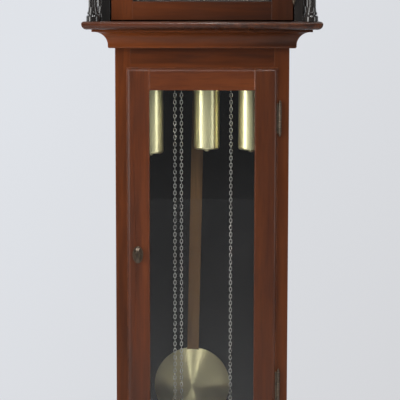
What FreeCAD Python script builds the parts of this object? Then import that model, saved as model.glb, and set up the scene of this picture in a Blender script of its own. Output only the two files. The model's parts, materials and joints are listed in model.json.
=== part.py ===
import FreeCAD, Part
import math
import os

V = FreeCAD.Vector

# Tall case clock with a glazed trunk door, three chain-driven weights and a wooden pendulum.
# Millimetres. +Z is up, the front faces -Y and +X is to the right as seen from the front.
# The origin is on the floor, under the middle of the whole clock.

# Heights of the case, each measured upwards on its own
plinth_height = 90.0
base_height = 297.0
base_moulding_height = 51.0
trunk_face_height = 860.0
waist_moulding_height = 39.0
shelf_thickness = 16.5
hood_door_height = 472.0
door_gap = 3.0
soffit_gap = 5.0
soffit_thickness = 8.0
frieze_height = 28.0
cornice_height = 40.0

base_top = plinth_height + base_height
trunk_bottom = base_top + base_moulding_height
trunk_top = trunk_bottom + trunk_face_height
shelf_bottom = trunk_top + waist_moulding_height
shelf_top = shelf_bottom + shelf_thickness
hood_door_bottom = shelf_top + door_gap
hood_door_top = hood_door_bottom + hood_door_height
soffit_bottom = hood_door_top + soffit_gap
frieze_bottom = soffit_bottom + soffit_thickness
cornice_bottom = frieze_bottom + frieze_height
cornice_top = cornice_bottom + cornice_height

# Widths and depths of the case
trunk_width = 363.0
trunk_depth = 266.0
base_step = 40.0
hood_step = 26.0
board = 16.0
base_board = 18.0
frame_thickness = 20.0
back_thickness = 8.0
column_radius = 9.3
column_foot_radius = 14.3
column_gap = 2.2
column_forward = 17.5
cornice_overhang = 28.0
shelf_overhang = 65.0
cove_foot_overhang = 14.0
cove_head_overhang = 40.5
plinth_board = 16.0
overrun = 5.0
fit_gap = 0.3
glue_depth = 27.0
tip = 0.8
cheek_rise = 65.0

trunk_half = trunk_width / 2
base_half = trunk_half + base_step
hood_side_half = trunk_half + hood_step - fit_gap * 2
column_x = hood_side_half + column_gap + column_foot_radius
frieze_half = column_x + column_foot_radius
frieze_reach = hood_step + column_forward + column_foot_radius
case_depth = trunk_depth + frieze_reach + cornice_overhang

# Depth planes, from the back of the case to its front
back_y = case_depth / 2
back_front_y = back_y - back_thickness
trunk_y = back_y - trunk_depth
base_y = trunk_y - base_step
hood_y = trunk_y - hood_step
column_y = hood_y - column_forward
frieze_y = trunk_y - frieze_reach
frame_back_y = trunk_y + frame_thickness
hood_back_y = hood_y + frame_thickness

# Trunk door: a lipped glazed frame that laps the face of the trunk
door_width = 316.0
door_height = 783.0
door_lift = 37.0
door_lap = 8.0
door_lip = 9.0
door_rebate_depth = 11.0
door_clearance = 1.0
door_stile_width = 48.0
door_rail_width = 47.5
ovolo = 7.0
ovolo_step = 2.0
glass_thickness = 3.0
glass_rebate = 8.0
sight_step = 2.0
glass_bead = 7.0
glass_clearance = 0.3

door_half = door_width / 2
door_bottom = trunk_bottom + door_lift
door_top = door_bottom + door_height
door_front_y = trunk_y - door_lip
door_back_y = trunk_y + door_rebate_depth
frame_opening_half = door_half - door_lap
sight_half = door_half - door_stile_width
sight_bottom = door_bottom + door_rail_width
sight_top = door_top - door_rail_width
glass_front_y = trunk_y + sight_step
glass_back_y = glass_front_y + glass_thickness

# Butt hinges with small finials, used on both doors
hinge_length = 62.0
hinge_radius = 3.0
hinge_pin_radius = 1.6
hinge_play = 0.06
hinge_knuckles = 5
hinge_finial_length = 7.0
hinge_finial_radius = 2.6
hinge_leaf = 1.2
hinge_inset = 75.0
hinge_stand_off = 4.5
leaf_width = 12.0
hinge_x = door_half + hinge_stand_off
hinge_y = trunk_y - hinge_stand_off

# Turn knob of the trunk door
knob_inset = 23.0
knob_drop = 433.5
knob_x = -(door_half - knob_inset)
knob_z = trunk_top - knob_drop
escutcheon_width = 22.0
escutcheon_height = 36.0
escutcheon_thickness = 2.0
knob_blade_height = 32.0
knob_blade_thickness = 7.0
knob_reach = 14.0
spindle_radius = 3.5
spindle_play = 0.06
cam_play = 2.5
cam_length = trunk_half - board + knob_x - cam_play
cam_width = 11.0
cam_thickness = 3.0
cam_gap = 0.5

# Base
base_panel_stile = 50.0
base_panel_thickness = 8.0
base_panel_lap = 12.0
base_panel_bevel = 16.0
base_panel_rise = 10.0
base_floor_thickness = 12.0
plinth_head = 12.0
foot_width = 84.0
foot_arch_height = 34.0
foot_curve = 22.0
board_lift = 20.0

# Hood
post_width = 17.0
base_rail_height = 10.0
base_rail_width = 9.0
base_rail_forward = 1.0
door_thickness = 20.0
hood_door_play = 1.5
dial_width = 280.0
dial_height = 395.0
dial_arch_radius = 115.0
dial_thickness = 2.0
hood_door_rail = 37.5
opening_margin = 3.0
mask_thickness = 8.0
mask_gap = 2.0
frieze_board = 16.0
roof_thickness = 12.0
column_foot_height = 12.5
column_notch = 1.5
column_torus_radius = 12.0
column_torus_height = 5.0
column_neck_height = 10.0
column_neck_radius = 9.3
column_flutes = 8
flute_depth = 1.7
flute_share = 0.72

hood_door_half = hood_side_half - post_width - door_gap
opening_half = dial_width / 2 + opening_margin
opening_bottom = hood_door_bottom + hood_door_rail
dial_bottom = opening_bottom + fit_gap
dial_shoulder = dial_bottom + dial_height - dial_arch_radius
dial_centre_z = dial_bottom + dial_width / 2
dial_y = trunk_y + board - mask_gap
dial_back_y = dial_y + dial_thickness

# Pediment
scroll_board = 18.0
scroll_outer = 200.0
scroll_foot = 15.0
rosette_x = 66.0
rosette_ring = 25.0
rosette_radius = 20.0
rosette_depth = 9.0
rosette_rise = 112.0
ring_sweep = 135.0
quarter_turn = 90.0
scroll_cap = 9.0
scroll_cap_reach = 10.0
pedestal_half = 22.0
pedestal_height = 54.0
finial_height = 150.0
side_finial_height = 92.0
finial_radius = 20.0
side_finial_radius = 14.0
finial_block = 34.0
finial_block_height = 14.0


def box(x0, x1, y0, y1, z0, z1):
    """Block between two corners."""
    return Part.makeBox(x1 - x0, y1 - y0, z1 - z0, V(x0, y0, z0))


def outline(steps, place):
    """Closed wire through the steps; a pair of points is an arc through the first to the second."""
    edges = []
    here = steps[0]
    for step in steps[1:] + [steps[0]]:
        there = step[1] if isinstance(step[0], tuple) else step
        if isinstance(step[0], tuple):
            edges.append(Part.Arc(place(*here), place(*step[0]), place(*there)).toShape())
        elif here != there:
            edges.append(Part.LineSegment(place(*here), place(*there)).toShape())
        here = there
    return Part.Wire(edges)


def plate_xz(steps, y0, y1):
    """Plate with a front outline in X and Z, between two depths."""
    return Part.Face(outline(steps, lambda x, z: V(x, y0, z))).extrude(V(0, y1 - y0, 0))


def plate_xy(steps, z0, z1):
    """Plate with a plan outline in X and Y, between two heights."""
    return Part.Face(outline(steps, lambda x, y: V(x, y, z0))).extrude(V(0, 0, z1 - z0))


def bar_x(steps, x0, x1):
    """Bar along X with a section in Y and Z."""
    return Part.Face(outline(steps, lambda y, z: V(x0, y, z))).extrude(V(x1 - x0, 0, 0))


def turned(steps, x, y, z):
    """Turning about the upright line through x and y, from a profile in radius and height."""
    face = Part.Face(outline(steps, lambda r, h: V(x + r, y, z + h)))
    return face.revolve(V(x, y, z), V(0, 0, 1), 360)


def turned_y(steps, x, y, z):
    """Turning about a line that runs back from x, y, z, from a profile in radius and depth."""
    face = Part.Face(outline(steps, lambda r, d: V(x + r, y + d, z)))
    return face.revolve(V(x, y, z), V(0, 1, 0), 360)


def rod_y(x, z, r, y0, y1):
    """Round rod along Y."""
    return Part.makeCylinder(r, y1 - y0, V(x, y0, z), V(0, 1, 0))


def rod_z(x, y, r, z0, z1):
    """Round rod along Z."""
    return Part.makeCylinder(r, z1 - z0, V(x, y, z0), V(0, 0, 1))


def mirrored(shape):
    """The same piece on the other side of the clock."""
    return shape.mirror(V(0, 0, 0), V(1, 0, 0))


def pair(shape):
    """A piece and its mirror image."""
    return [shape, mirrored(shape)]


def save(node, *shapes):
    """Write one node as a group of separate solids."""
    solids = [solid for shape in shapes for solid in shape.Solids]
    Part.makeCompound(solids).exportStep(os.path.join("parts", node + ".step"))
    volume = sum(solid.Volume for solid in solids)
    print(node, len(solids), round(volume), all(solid.isValid() for solid in solids))


def moulding(steps, half, front, z):
    """Front length and two returns of a moulding, mitred at the corners."""
    widths = [max(p[0] for p in step) if isinstance(step[0], tuple) else step[0] for step in steps]
    reach = 2 * overrun + max(widths)
    inner = min(max(p[0] for p in step) if isinstance(step[0], tuple) else step[0] for step in steps)
    run = Part.Face(outline(steps, lambda u, v: V(-half - reach, front - u, z + v)))
    run = run.extrude(V(2 * (half + reach), 0, 0))
    corner_in = (half + inner, front - inner)
    corner_out = (half + reach, front - reach)
    plan = [(-corner_in[0], corner_in[1]), corner_in, corner_out, (-corner_out[0], corner_out[1])]
    run = run.common(plate_xy(plan, z - reach, z + half))
    side = Part.Face(outline(steps, lambda u, v: V(half + u, front - reach, z + v)))
    side = side.extrude(V(0, back_y - front + reach, 0))
    plan = [corner_in, corner_out, (corner_out[0], back_y), (corner_in[0], back_y)]
    side = side.common(plate_xy(plan, z - reach, z + half))
    return [run] + pair(side)


def frame_of_four(outer, inner, y0, y1):
    """Two stiles and two rails of a rectangular frame, as x half width, bottom and top."""
    x1, z0, z1 = outer
    x0, z2, z3 = inner
    rails = [box(-x0, x0, y0, y1, z0, z2), box(-x0, x0, y0, y1, z3, z1)]
    return pair(box(x0, x1, y0, y1, z0, z1)) + rails


def bullnose(width, thickness, low, high):
    """Shelf edge: a large round below and a small one above."""
    bend = math.sqrt(0.5)
    return [(0, 0), (width - low, 0), ((width - low + low * bend, low - low * bend), (width, low)),
            (width, thickness - high),
            ((width - high + high * bend, thickness - high + high * bend), (width - high, thickness)),
            (0, thickness)]


# Case of the clock
shelf_low_round = 11.0
shelf_high_round = 5.0
waist_bead = 2.5
waist_flat = 12.0
waist_fillet = 5.0
ogee_share = 0.29


def waist_profile():
    """Bead, cove and fillet under the shelf, up from the trunk."""
    rise = waist_moulding_height - waist_fillet
    low = waist_bead + waist_fillet / 3
    cove = cove_head_overhang - cove_foot_overhang
    middle = (cove_foot_overhang + cove * ogee_share, low + (rise - low) * (1 - ogee_share))
    return [(0, 0), (waist_flat, 0), (cove_foot_overhang, waist_bead), (cove_foot_overhang, low),
            (middle, (cove_head_overhang, rise)), (cove_head_overhang + waist_fillet, rise),
            (cove_head_overhang + waist_fillet, waist_moulding_height), (0, waist_moulding_height)]


def base_profile():
    """Moulding between base and trunk: a cove that falls outwards to a round over the base."""
    foot = base_step + waist_flat
    rise = base_moulding_height
    edge = waist_flat
    cove = foot - edge - cove_foot_overhang / 2
    head = edge + edge / 2
    middle = (cove_foot_overhang / 2 + cove * ogee_share, head + (rise - head - waist_bead) * ogee_share)
    return [(0, 0), (base_step, 0), (foot - edge / 2, 0), ((foot, edge / 2), (foot - edge / 2, edge)),
            (foot - edge, head), (middle, (cove_foot_overhang / 2, rise - waist_bead)),
            (cove_foot_overhang / 2, rise), (0, rise)]


def plinth_profile():
    """Plinth board with a hollow at its head."""
    t = plinth_board
    rise = plinth_height
    low = rise - plinth_head
    hollow = (t - overrun - (t - 2 * overrun) * ogee_share, low + overrun)
    return [(0, 0), (t, 0), (t, low), (t - overrun / 2, low), (hollow, (overrun, rise - overrun / 2)),
            (overrun, rise), (0, rise)]


def cornice_profile():
    """Cornice over the frieze: fillet, large cove, round and top fillet."""
    w = cornice_overhang
    h = cornice_height
    step = overrun
    cove_top = h - 3 * step
    middle = (step + (w - 2 * step) * ogee_share, step + (cove_top - step) * (1 - ogee_share))
    return [(-frieze_board, 0), (step, 0), (step, step), (middle, (w - step, cove_top)),
            (w - step, cove_top + step / 2), ((w, cove_top + step * 1.25),
                                              (w - step / 2, cove_top + 2 * step)),
            (w, h - step + step / 4), (w, h), (-frieze_board, h)]


def build_case():
    """Back, trunk, base and plinth."""
    steps = [(base_half, board_lift), (base_half, base_top), (trunk_half, base_top), (trunk_half, shelf_top),
             (hood_side_half, shelf_top), (hood_side_half, soffit_bottom)]
    steps += [(-x, z) for x, z in reversed(steps)]
    save("backboard", plate_xz(steps, back_front_y, back_y))
    foot_z = base_top - glue_depth
    cheek_top = shelf_top + cheek_rise
    save("trunk_sides", *pair(box(trunk_half - board, trunk_half, frame_back_y, back_front_y, foot_z,
                                  cheek_top)))
    outer = (trunk_half, foot_z, shelf_top)
    inner = (frame_opening_half, door_bottom + door_lap, door_top - door_lap)
    frame = frame_of_four(outer, inner, trunk_y, frame_back_y)
    save("trunk_face_frame", *[cut_for_leaves(piece) for piece in frame])
    save("waist_cove", *moulding(waist_profile(), trunk_half, trunk_y, trunk_top))
    shelf = bullnose(shelf_overhang, shelf_thickness, shelf_low_round, shelf_high_round)
    save("waist_shelf", *moulding(shelf, trunk_half, trunk_y, shelf_bottom))
    base_frame_back = base_y + frame_thickness
    inside = base_half - base_board
    save("base_sides", *pair(box(inside, base_half, base_frame_back, back_front_y, board_lift, base_top)))
    stile_x = base_half - base_panel_stile
    low = plinth_height + base_panel_stile
    high = base_top - base_panel_stile
    outer = (base_half, board_lift, base_top)
    save("base_face_frame", *frame_of_four(outer, (stile_x, low, high), base_y, base_frame_back))
    save("base_panel", base_panel(stile_x - fit_gap, low + fit_gap, high - fit_gap, base_frame_back))
    floor = box(-inside, inside, base_frame_back, back_front_y, plinth_height,
                plinth_height + base_floor_thickness)
    save("base_floor", floor)
    save("base_moulding", *moulding(base_profile(), trunk_half, trunk_y, base_top))
    save("plinth", *plinth_boards())


def cut_for_leaves(piece):
    """Slots in a stile for the fixed leaves of the trunk door's hinges."""
    for z in trunk_hinge_levels:
        slot = box(hinge_x - hinge_leaf / 2, hinge_x + hinge_leaf / 2, trunk_y - overrun,
                   hinge_y + hinge_radius + fit_gap + leaf_width, z, z + hinge_length)
        piece = piece.cut(slot)
    return piece


def base_panel(half, low, high, seat_y):
    """Raised panel: a plate behind the frame and a bevelled field in its opening."""
    lap = base_panel_lap
    plate = box(-half - lap, half + lap, seat_y, seat_y + base_panel_thickness, low - lap, high + lap)
    rise = base_panel_rise
    bevel = base_panel_bevel

    def ring(y, inset):
        corners = [(-half + inset, low + inset), (half - inset, low + inset), (half - inset, high - inset),
                   (-half + inset, high - inset)]
        return outline(corners, lambda x, z: V(x, y, z))

    field = Part.makeLoft([ring(seat_y, 0), ring(seat_y - rise, bevel)], True, True)
    return plate.fuse(field).removeSplitter()


def plinth_boards():
    """Mitred plinth boards, with the arch between the feet sawn out of each."""
    boards = moulding(plinth_profile(), base_half, base_y, 0)
    width = base_half + plinth_board
    span = width - foot_width
    rise = foot_arch_height
    arch = [(-span - foot_curve, -overrun), (-span - foot_curve, 0), ((-span - foot_curve * ogee_share, rise
            - foot_curve * ogee_share), (-span, rise)), (span, rise),
            ((span + foot_curve * ogee_share, rise - foot_curve * ogee_share), (span + foot_curve, 0)),
            (span + foot_curve, -overrun)]
    front = base_y - 2 * plinth_board
    middle = (base_y + back_y) / 2
    cutter = plate_xz(arch, front, base_y + overrun)
    side_span = (back_y - base_y) / 2 - foot_width / 2
    low = [(middle - side_span - foot_curve, -overrun), (middle - side_span - foot_curve, 0),
           ((middle - side_span - foot_curve * ogee_share, rise - foot_curve * ogee_share),
            (middle - side_span, rise)), (middle + side_span, rise),
           ((middle + side_span + foot_curve * ogee_share, rise - foot_curve * ogee_share),
            (middle + side_span + foot_curve, 0)), (middle + side_span + foot_curve, -overrun)]
    side_cutter = bar_x(low, -width - overrun, width + overrun)
    return [boards[0].cut(cutter)] + [b.cut(side_cutter) for b in boards[1:]]


def hinge(x, y, z0, case_offset, door_way, door_offset):
    """Butt hinge with finials: the case half with its pin, and the door half."""
    pitch = hinge_length / hinge_knuckles
    case = rod_z(x, y, hinge_pin_radius, z0 - fit_gap, z0 + hinge_length + fit_gap)
    door = []
    leaf_start = hinge_radius + fit_gap
    half_leaf = hinge_leaf / 2
    for place in range(hinge_knuckles):
        low = z0 + pitch * place + fit_gap / 2
        high = low + pitch - fit_gap
        barrel = rod_z(x, y, hinge_radius, low, high)
        if place % 2 == 0:
            lug = box(x + case_offset - half_leaf, x + case_offset + half_leaf, y, y + leaf_start, low, high)
            case = case.fuse([barrel, lug])
        elif door_way == "across":
            lug = box(x - leaf_start, x, y - half_leaf, y + half_leaf, low, high)
            door.append(barrel.fuse(lug))
        else:
            lug = box(x + door_offset - half_leaf, x + door_offset + half_leaf, y, y + leaf_start, low, high)
            door.append(barrel.fuse(lug))
    top = z0 + hinge_length
    ends = hinge_finial_radius
    finial = turned([(0, 0), (hinge_pin_radius, 0), (ends, ends / 2), (ends, ends),
                     (hinge_pin_radius / 2, hinge_finial_length), (0, hinge_finial_length)], x, y, top)
    lower = finial.mirror(V(0, 0, z0 + hinge_length / 2), V(0, 0, 1))
    case_leaf = box(x + case_offset - half_leaf, x + case_offset + half_leaf, y + leaf_start,
                    y + leaf_start + leaf_width, z0, top)
    if door_way == "across":
        leaf = box(x - leaf_start - leaf_width, x - leaf_start, y - half_leaf, y + half_leaf, z0, top)
    else:
        leaf = box(x + door_offset - half_leaf, x + door_offset + half_leaf, y + leaf_start,
                   y + leaf_start + leaf_width, z0, top)
    bore = rod_z(x, y, hinge_pin_radius + hinge_play, z0 - overrun, top + overrun)
    case = case.fuse([case_leaf, finial, lower]).removeSplitter()
    door = leaf.fuse(door).cut(bore).removeSplitter()
    return case, door


def hinge_levels(low, high):
    """Bottoms of the two hinges of a door between two heights."""
    return [low + hinge_inset, high - hinge_inset - hinge_length]


trunk_hinge_levels = hinge_levels(door_bottom, door_top)
hood_hinge_x = hood_door_half + door_gap / 2
hood_hinge_y = hood_y - hinge_radius - fit_gap
hood_hinge_levels = [opening_bottom, hood_door_top - hinge_inset]


def hood_hinge_pair():
    """Both hinges of the hood door, as a list of case halves and a list of door halves."""
    side = (door_gap - hinge_leaf) / 2
    both = [hinge(hood_hinge_x, hood_hinge_y, z, side, "back", -side) for z in hood_hinge_levels]
    return [b[0] for b in both], [b[1] for b in both]


def trunk_hinge_pair():
    """Both hinges of the trunk door."""
    both = [hinge(hinge_x, hinge_y, z, 0, "across", 0) for z in trunk_hinge_levels]
    return [b[0] for b in both], [b[1] for b in both]


def trunk_door_frame():
    """Stiles and rails of the trunk door, with its lip, moulded edge and glass rebate."""
    lip = door_lip - ovolo
    body = box(-door_half, door_half, trunk_y - lip, trunk_y, door_bottom, door_top)
    face = box(-door_half + ovolo_step, door_half - ovolo_step, door_front_y, trunk_y - lip,
               door_bottom + ovolo_step, door_top - ovolo_step)
    edges = [e for e in face.Edges if abs(e.BoundBox.YMax - door_front_y) < fit_gap]
    face = face.makeFillet(ovolo - fit_gap, edges)
    inset = door_lap + door_clearance
    tongue = box(-door_half + inset, door_half - inset, trunk_y, door_back_y, door_bottom + inset,
                 door_top - inset)
    body = body.fuse([face, tongue]).removeSplitter()
    sight = box(-sight_half, sight_half, door_front_y - overrun, door_back_y + overrun, sight_bottom,
                sight_top)
    rebate = glass_rebate
    seat = box(-sight_half - rebate, sight_half + rebate, glass_front_y, door_back_y + overrun,
               sight_bottom - rebate, sight_top + rebate)
    hole = rod_y(knob_x, knob_z, spindle_radius + spindle_play, door_front_y - overrun, door_back_y + overrun)
    body = body.cut(sight.fuse(seat)).cut(hole)
    leaf_back = hinge_radius + fit_gap + leaf_width
    for z in trunk_hinge_levels:
        slot = box(hinge_x - leaf_back, hinge_x, hinge_y - hinge_leaf / 2, hinge_y + hinge_leaf / 2, z,
                   z + hinge_length)
        body = body.cut(slot)
    far = door_half + overrun
    stile = box(sight_half, far, door_front_y - overrun, door_back_y + overrun, door_bottom, door_top)
    rail = box(-sight_half, sight_half, door_front_y - overrun, door_back_y + overrun, door_bottom,
               sight_bottom)
    rail_top = box(-sight_half, sight_half, door_front_y - overrun, door_back_y + overrun, sight_top,
                   door_top)
    return [body.common(part) for part in (stile, mirrored(stile), rail, rail_top)]


def build_trunk_door():
    """Trunk door with its pane, glass beads, knob and hinges."""
    save("trunk_door_frame", *trunk_door_frame())
    edge = glass_rebate - glass_clearance
    pane = box(-sight_half - edge, sight_half + edge, glass_front_y, glass_back_y, sight_bottom - edge,
               sight_top + edge)
    save("trunk_door_glass", pane)
    outer = (sight_half + edge, sight_bottom - edge, sight_top + edge)
    inner = (sight_half, sight_bottom, sight_top)
    save("trunk_door_glass_beads", *frame_of_four(outer, inner, glass_back_y,
                                                  glass_back_y + glass_bead - sight_step))
    plate = Part.Face(Part.Wire(Part.Ellipse(V(knob_x, 0, knob_z), escutcheon_height / 2,
                                             escutcheon_width / 2).toShape()))
    plate.rotate(V(knob_x, 0, knob_z), V(0, 0, 1), 90)
    plate.rotate(V(knob_x, 0, knob_z), V(1, 0, 0), 90)
    plate.translate(V(0, door_front_y, 0))
    plate = plate.extrude(V(0, -escutcheon_thickness, 0))
    plate = plate.cut(rod_y(knob_x, knob_z, spindle_radius + spindle_play, door_front_y - 2 * overrun,
                            trunk_y))
    save("trunk_door_escutcheon", plate)
    save("trunk_door_knob", turn_knob())
    save("trunk_door_hinge_leaves", *trunk_hinge_pair()[1])


def turn_knob():
    """Thumb turn: an oval blade on a collar, its spindle and the cam behind the stile."""
    plate_y = door_front_y - escutcheon_thickness - fit_gap
    collar = rod_y(knob_x, knob_z, 2 * spindle_radius, plate_y - spindle_radius, plate_y)
    neck_y = plate_y - knob_reach
    half = knob_blade_height / 2
    blade_edge = knob_blade_height * ogee_share
    waist_y = plate_y - spindle_radius
    side = [(waist_y, knob_z - spindle_radius), (waist_y, knob_z + spindle_radius),
            ((waist_y - blade_edge / 3, knob_z + half - blade_edge / 2),
             (neck_y + blade_edge / 2, knob_z + half)),
            ((neck_y, knob_z), (neck_y + blade_edge / 2, knob_z - half)),
            ((waist_y - blade_edge / 3, knob_z - half + blade_edge / 2), (waist_y, knob_z - spindle_radius))]
    blade = bar_x(side, knob_x - knob_blade_thickness / 2, knob_x + knob_blade_thickness / 2)
    cam_y = frame_back_y + cam_gap
    spindle = rod_y(knob_x, knob_z, spindle_radius, plate_y, cam_y)
    half_cam = cam_width / 2
    cam = box(knob_x - half_cam, knob_x + half_cam, cam_y, cam_y + cam_thickness,
              knob_z - cam_length + half_cam,
              knob_z)
    cam_end = knob_z - cam_length + half_cam
    ends = [rod_y(knob_x, z, half_cam, cam_y, cam_y + cam_thickness) for z in (knob_z, cam_end)]
    return collar.fuse([blade, spindle, cam] + ends).removeSplitter()


def arch_outline(grow, half, low, shoulder, radius):
    """Rectangle with a round arch on top that is narrower than it, grown on every side."""
    return [(-half - grow, low - grow), (half + grow, low - grow), (half + grow, shoulder + grow),
            (radius + grow, shoulder + grow), ((0, shoulder + radius + grow),
                                               (-radius - grow, shoulder + grow)),
            (-half - grow, shoulder + grow)]


def opening_outline(grow):
    """The glazed opening of the hood door."""
    shoulder = dial_shoulder + opening_margin
    return arch_outline(grow, opening_half, opening_bottom, shoulder, dial_arch_radius)


hood_glass_y = hood_back_y - glass_rebate
hood_knob_radius = 7.0
hood_knob_reach = 16.0


def build_hood_door():
    """Glazed door of the hood, with an arched opening."""
    whole = box(-hood_door_half, hood_door_half, hood_y, hood_back_y, hood_door_bottom, hood_door_top)
    opening = plate_xz(opening_outline(0), hood_y - overrun, hood_back_y + overrun)
    seat = plate_xz(opening_outline(glass_rebate), hood_glass_y, hood_back_y + overrun)
    whole = whole.cut(opening).cut(seat)
    stiles = [box(opening_half, hood_door_half, hood_y, hood_back_y, hood_door_bottom, hood_door_top)]
    stiles.append(mirrored(stiles[0]))
    parts = [whole.common(s) for s in stiles]
    middle = box(-opening_half, opening_half, hood_y, hood_back_y, hood_door_bottom, hood_door_top)
    rails = whole.common(middle).Solids
    save("hood_door_frame", *(parts + rails))
    edge = glass_rebate - glass_clearance
    save("hood_door_glass", plate_xz(opening_outline(edge), hood_glass_y, hood_glass_y + glass_thickness))
    r = hood_knob_radius
    reach = hood_knob_reach
    knob = turned_y([(0, 0), (r, 0), (r / 2, -reach / 4), (r / 2, -reach / 2), (r, -reach * 0.65),
                     (r, -reach * 0.85), (r * 0.6, -reach), (0, -reach)],
                    -(hood_door_half + opening_half) / 2, hood_y, dial_centre_z)
    save("hood_door_knob", knob)
    save("hood_door_hinge_leaves", *hood_hinge_pair()[1])


def column(x, y):
    """Turned column: drum foot, ring and flare, a fluted shaft, and the same forms as its capital."""
    foot = column_foot_height
    ring_low = foot + column_notch
    ring_high = ring_low + column_torus_height
    neck = ring_high + column_neck_height
    height = soffit_bottom - shelf_top
    edge = column_notch
    big = column_foot_radius
    ring = column_torus_radius
    thin = column_neck_radius
    flare = ring - edge - thin
    steps = [(0, 0), (big, 0), (big, foot - 2 * edge), (big - edge, foot), (thin, foot), (thin, ring_low),
             (ring, ring_low), (ring, ring_high), (thin + flare, ring_high), (thin, neck), (0, neck)]
    base = turned(steps, x, y, shelf_top)
    head = base.mirror(V(0, 0, (shelf_top + soffit_bottom) / 2), V(0, 0, 1))
    shaft = plate_xy(fluted_section(x, y), shelf_top + neck, shelf_top + height - neck)
    return base.fuse([shaft, head])


def fluted_section(x, y):
    """Plan of the shaft: flat lands between hollow flutes."""
    pitch = 2 * math.pi / column_flutes
    floor = column_radius - flute_depth
    steps = []
    for flute in range(column_flutes):
        for radius, share in ((column_radius, 0), (floor, 0.3), (floor, 0.7), (column_radius, 1)):
            turn = pitch * (flute + share * flute_share)
            steps.append((x + radius * math.cos(turn), y + radius * math.sin(turn)))
    return steps


def build_hood():
    """Hood: sides, posts, columns, dial mask, soffit, frieze, cornice and pediment."""
    side = box(hood_side_half - board, hood_side_half, hood_back_y, back_front_y, shelf_top, soffit_bottom)
    save("hood_sides", *pair(side))
    post_in = hood_side_half - post_width
    post = box(post_in, hood_side_half, hood_y, hood_back_y, shelf_top, soffit_bottom)
    rail_in = hood_side_half
    rail_out = rail_in + base_rail_width
    front = hood_y - base_rail_forward
    rear_y = back_front_y - column_foot_radius - 2 * fit_gap
    rail_space = column_foot_radius + fit_gap
    rails = pair(box(rail_in, rail_out, column_y + rail_space, rear_y - rail_space, shelf_top,
                     shelf_top + base_rail_height))
    save("hood_posts", *(pair(post) + rails))
    save("hood_columns", *(pair(column(column_x, column_y)) + pair(column(column_x, rear_y))))
    mask_y = dial_y - mask_gap - mask_thickness
    inner = hood_side_half - board
    whole = box(-inner, inner, mask_y, mask_y + mask_thickness, shelf_top, soffit_bottom)
    cut = arch_outline(-opening_margin, dial_width / 2, dial_bottom, dial_shoulder, dial_arch_radius)
    save("dial_mask", whole.cut(plate_xz(cut, mask_y - overrun, mask_y + mask_thickness + overrun)))
    soffit = box(-frieze_half, frieze_half, frieze_y, back_y, soffit_bottom, frieze_bottom)
    t = frieze_board
    frieze = [(-t, 0), (0, 0), (0, frieze_height), (-t, frieze_height)]
    save("hood_frieze", *moulding(frieze, frieze_half, frieze_y, frieze_bottom))
    save("hood_cornice", *moulding(cornice_profile(), frieze_half, frieze_y, cornice_bottom))
    roof_half = frieze_half - frieze_board
    roof = box(-roof_half, roof_half, frieze_y + frieze_board, back_y, cornice_bottom,
               cornice_bottom + roof_thickness)
    save("hood_top_boards", soffit, roof)
    build_pediment()


def arc_points(centre, radius, start, end):
    """Middle and end of an arc about a centre, by angles in degrees."""
    def at(angle):
        turn = math.radians(angle)
        return (centre[0] + radius * math.cos(turn), centre[1] + radius * math.sin(turn))
    return at((start + end) / 2), at(end)


def scroll_curve(grow):
    """Swan-neck curve from the outer foot to the top of the rosette, grown upwards."""
    low = (scroll_outer, cornice_top + scroll_foot)
    high = (rosette_x, cornice_top + rosette_rise + rosette_ring)
    slope = math.atan2(high[1] - low[1], low[0] - high[0])
    half_chord = math.hypot(high[1] - low[1], low[0] - high[0]) / 2
    radius = half_chord / (2 * math.sin(slope))
    turn = math.degrees(2 * slope)
    first = arc_points((low[0], low[1] + radius), radius - grow, -quarter_turn, -quarter_turn - turn)
    second = arc_points((high[0], high[1] - radius), radius + grow, quarter_turn - turn, quarter_turn)
    return [(low[0], low[1] + grow), first, second]


def build_pediment():
    """Scroll board with its cap moulding, rosettes and three finials."""
    top = cornice_top
    front = frieze_y
    back = frieze_y + scroll_board
    centre = (rosette_x, top + rosette_rise)
    ring = arc_points(centre, rosette_ring, quarter_turn, quarter_turn + ring_sweep)
    block_top = top + pedestal_height
    dip = ((pedestal_half + ring[1][0]) / 2, (block_top + ring[1][1]) / 2)
    dip = (dip[0] - fit_gap, dip[1] - pedestal_half / 4)
    half = [(pedestal_half, top), (scroll_outer, top)] + scroll_curve(0)
    half += [ring, (dip, (pedestal_half, block_top))]
    scroll = plate_xz(half, front, back)
    block = box(-pedestal_half, pedestal_half, front, back, top, block_top)
    tympanum = scroll.fuse([mirrored(scroll), block]).removeSplitter()
    cap = scroll_cap_band(0, scroll_cap, front - scroll_cap_reach, back)
    bead = scroll_cap_band(-scroll_cap / 2, 0, front - scroll_cap_reach / 2, front)
    save("pediment", tympanum, *pair(cap.fuse(bead).removeSplitter()))
    r = rosette_radius
    d = rosette_depth
    steps = [(0, 0), (r, 0), (r, -d / 3), (r * 0.9, -d * 0.6), (r * 0.7, -d * 0.6), (r * 0.6, -d / 3),
             ((r * 0.35, -d), (tip, -d)), (0, -d)]
    save("pediment_rosettes", *pair(turned_y(steps, centre[0], front, centre[1])))
    y = (front + back) / 2
    finials = [finial(0, y, block_top, finial_height, finial_radius)]
    for shape in pair(side_finial(y)):
        finials.append(shape)
    save("hood_finials", *finials)


def scroll_cap_band(low, high, y0, y1):
    """Band that follows the swan-neck curve between two offsets."""
    bottom = scroll_curve(low)
    above = scroll_curve(high)
    start = above[0]
    join = above[1][1]
    end = above[2][1]
    back = [end, (above[2][0], join), (above[1][0], start)]
    return plate_xz(bottom + back, y0, y1)


def side_finial(y):
    """Side finial on its own block above the end of the cornice."""
    x = scroll_outer + scroll_cap + finial_block / 2
    half = finial_block / 2
    top = cornice_top + finial_block_height
    block = box(x - half, x + half, y - half, y + half, cornice_top, top)
    return block.fuse(finial(x, y, top, side_finial_height, side_finial_radius))


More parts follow.
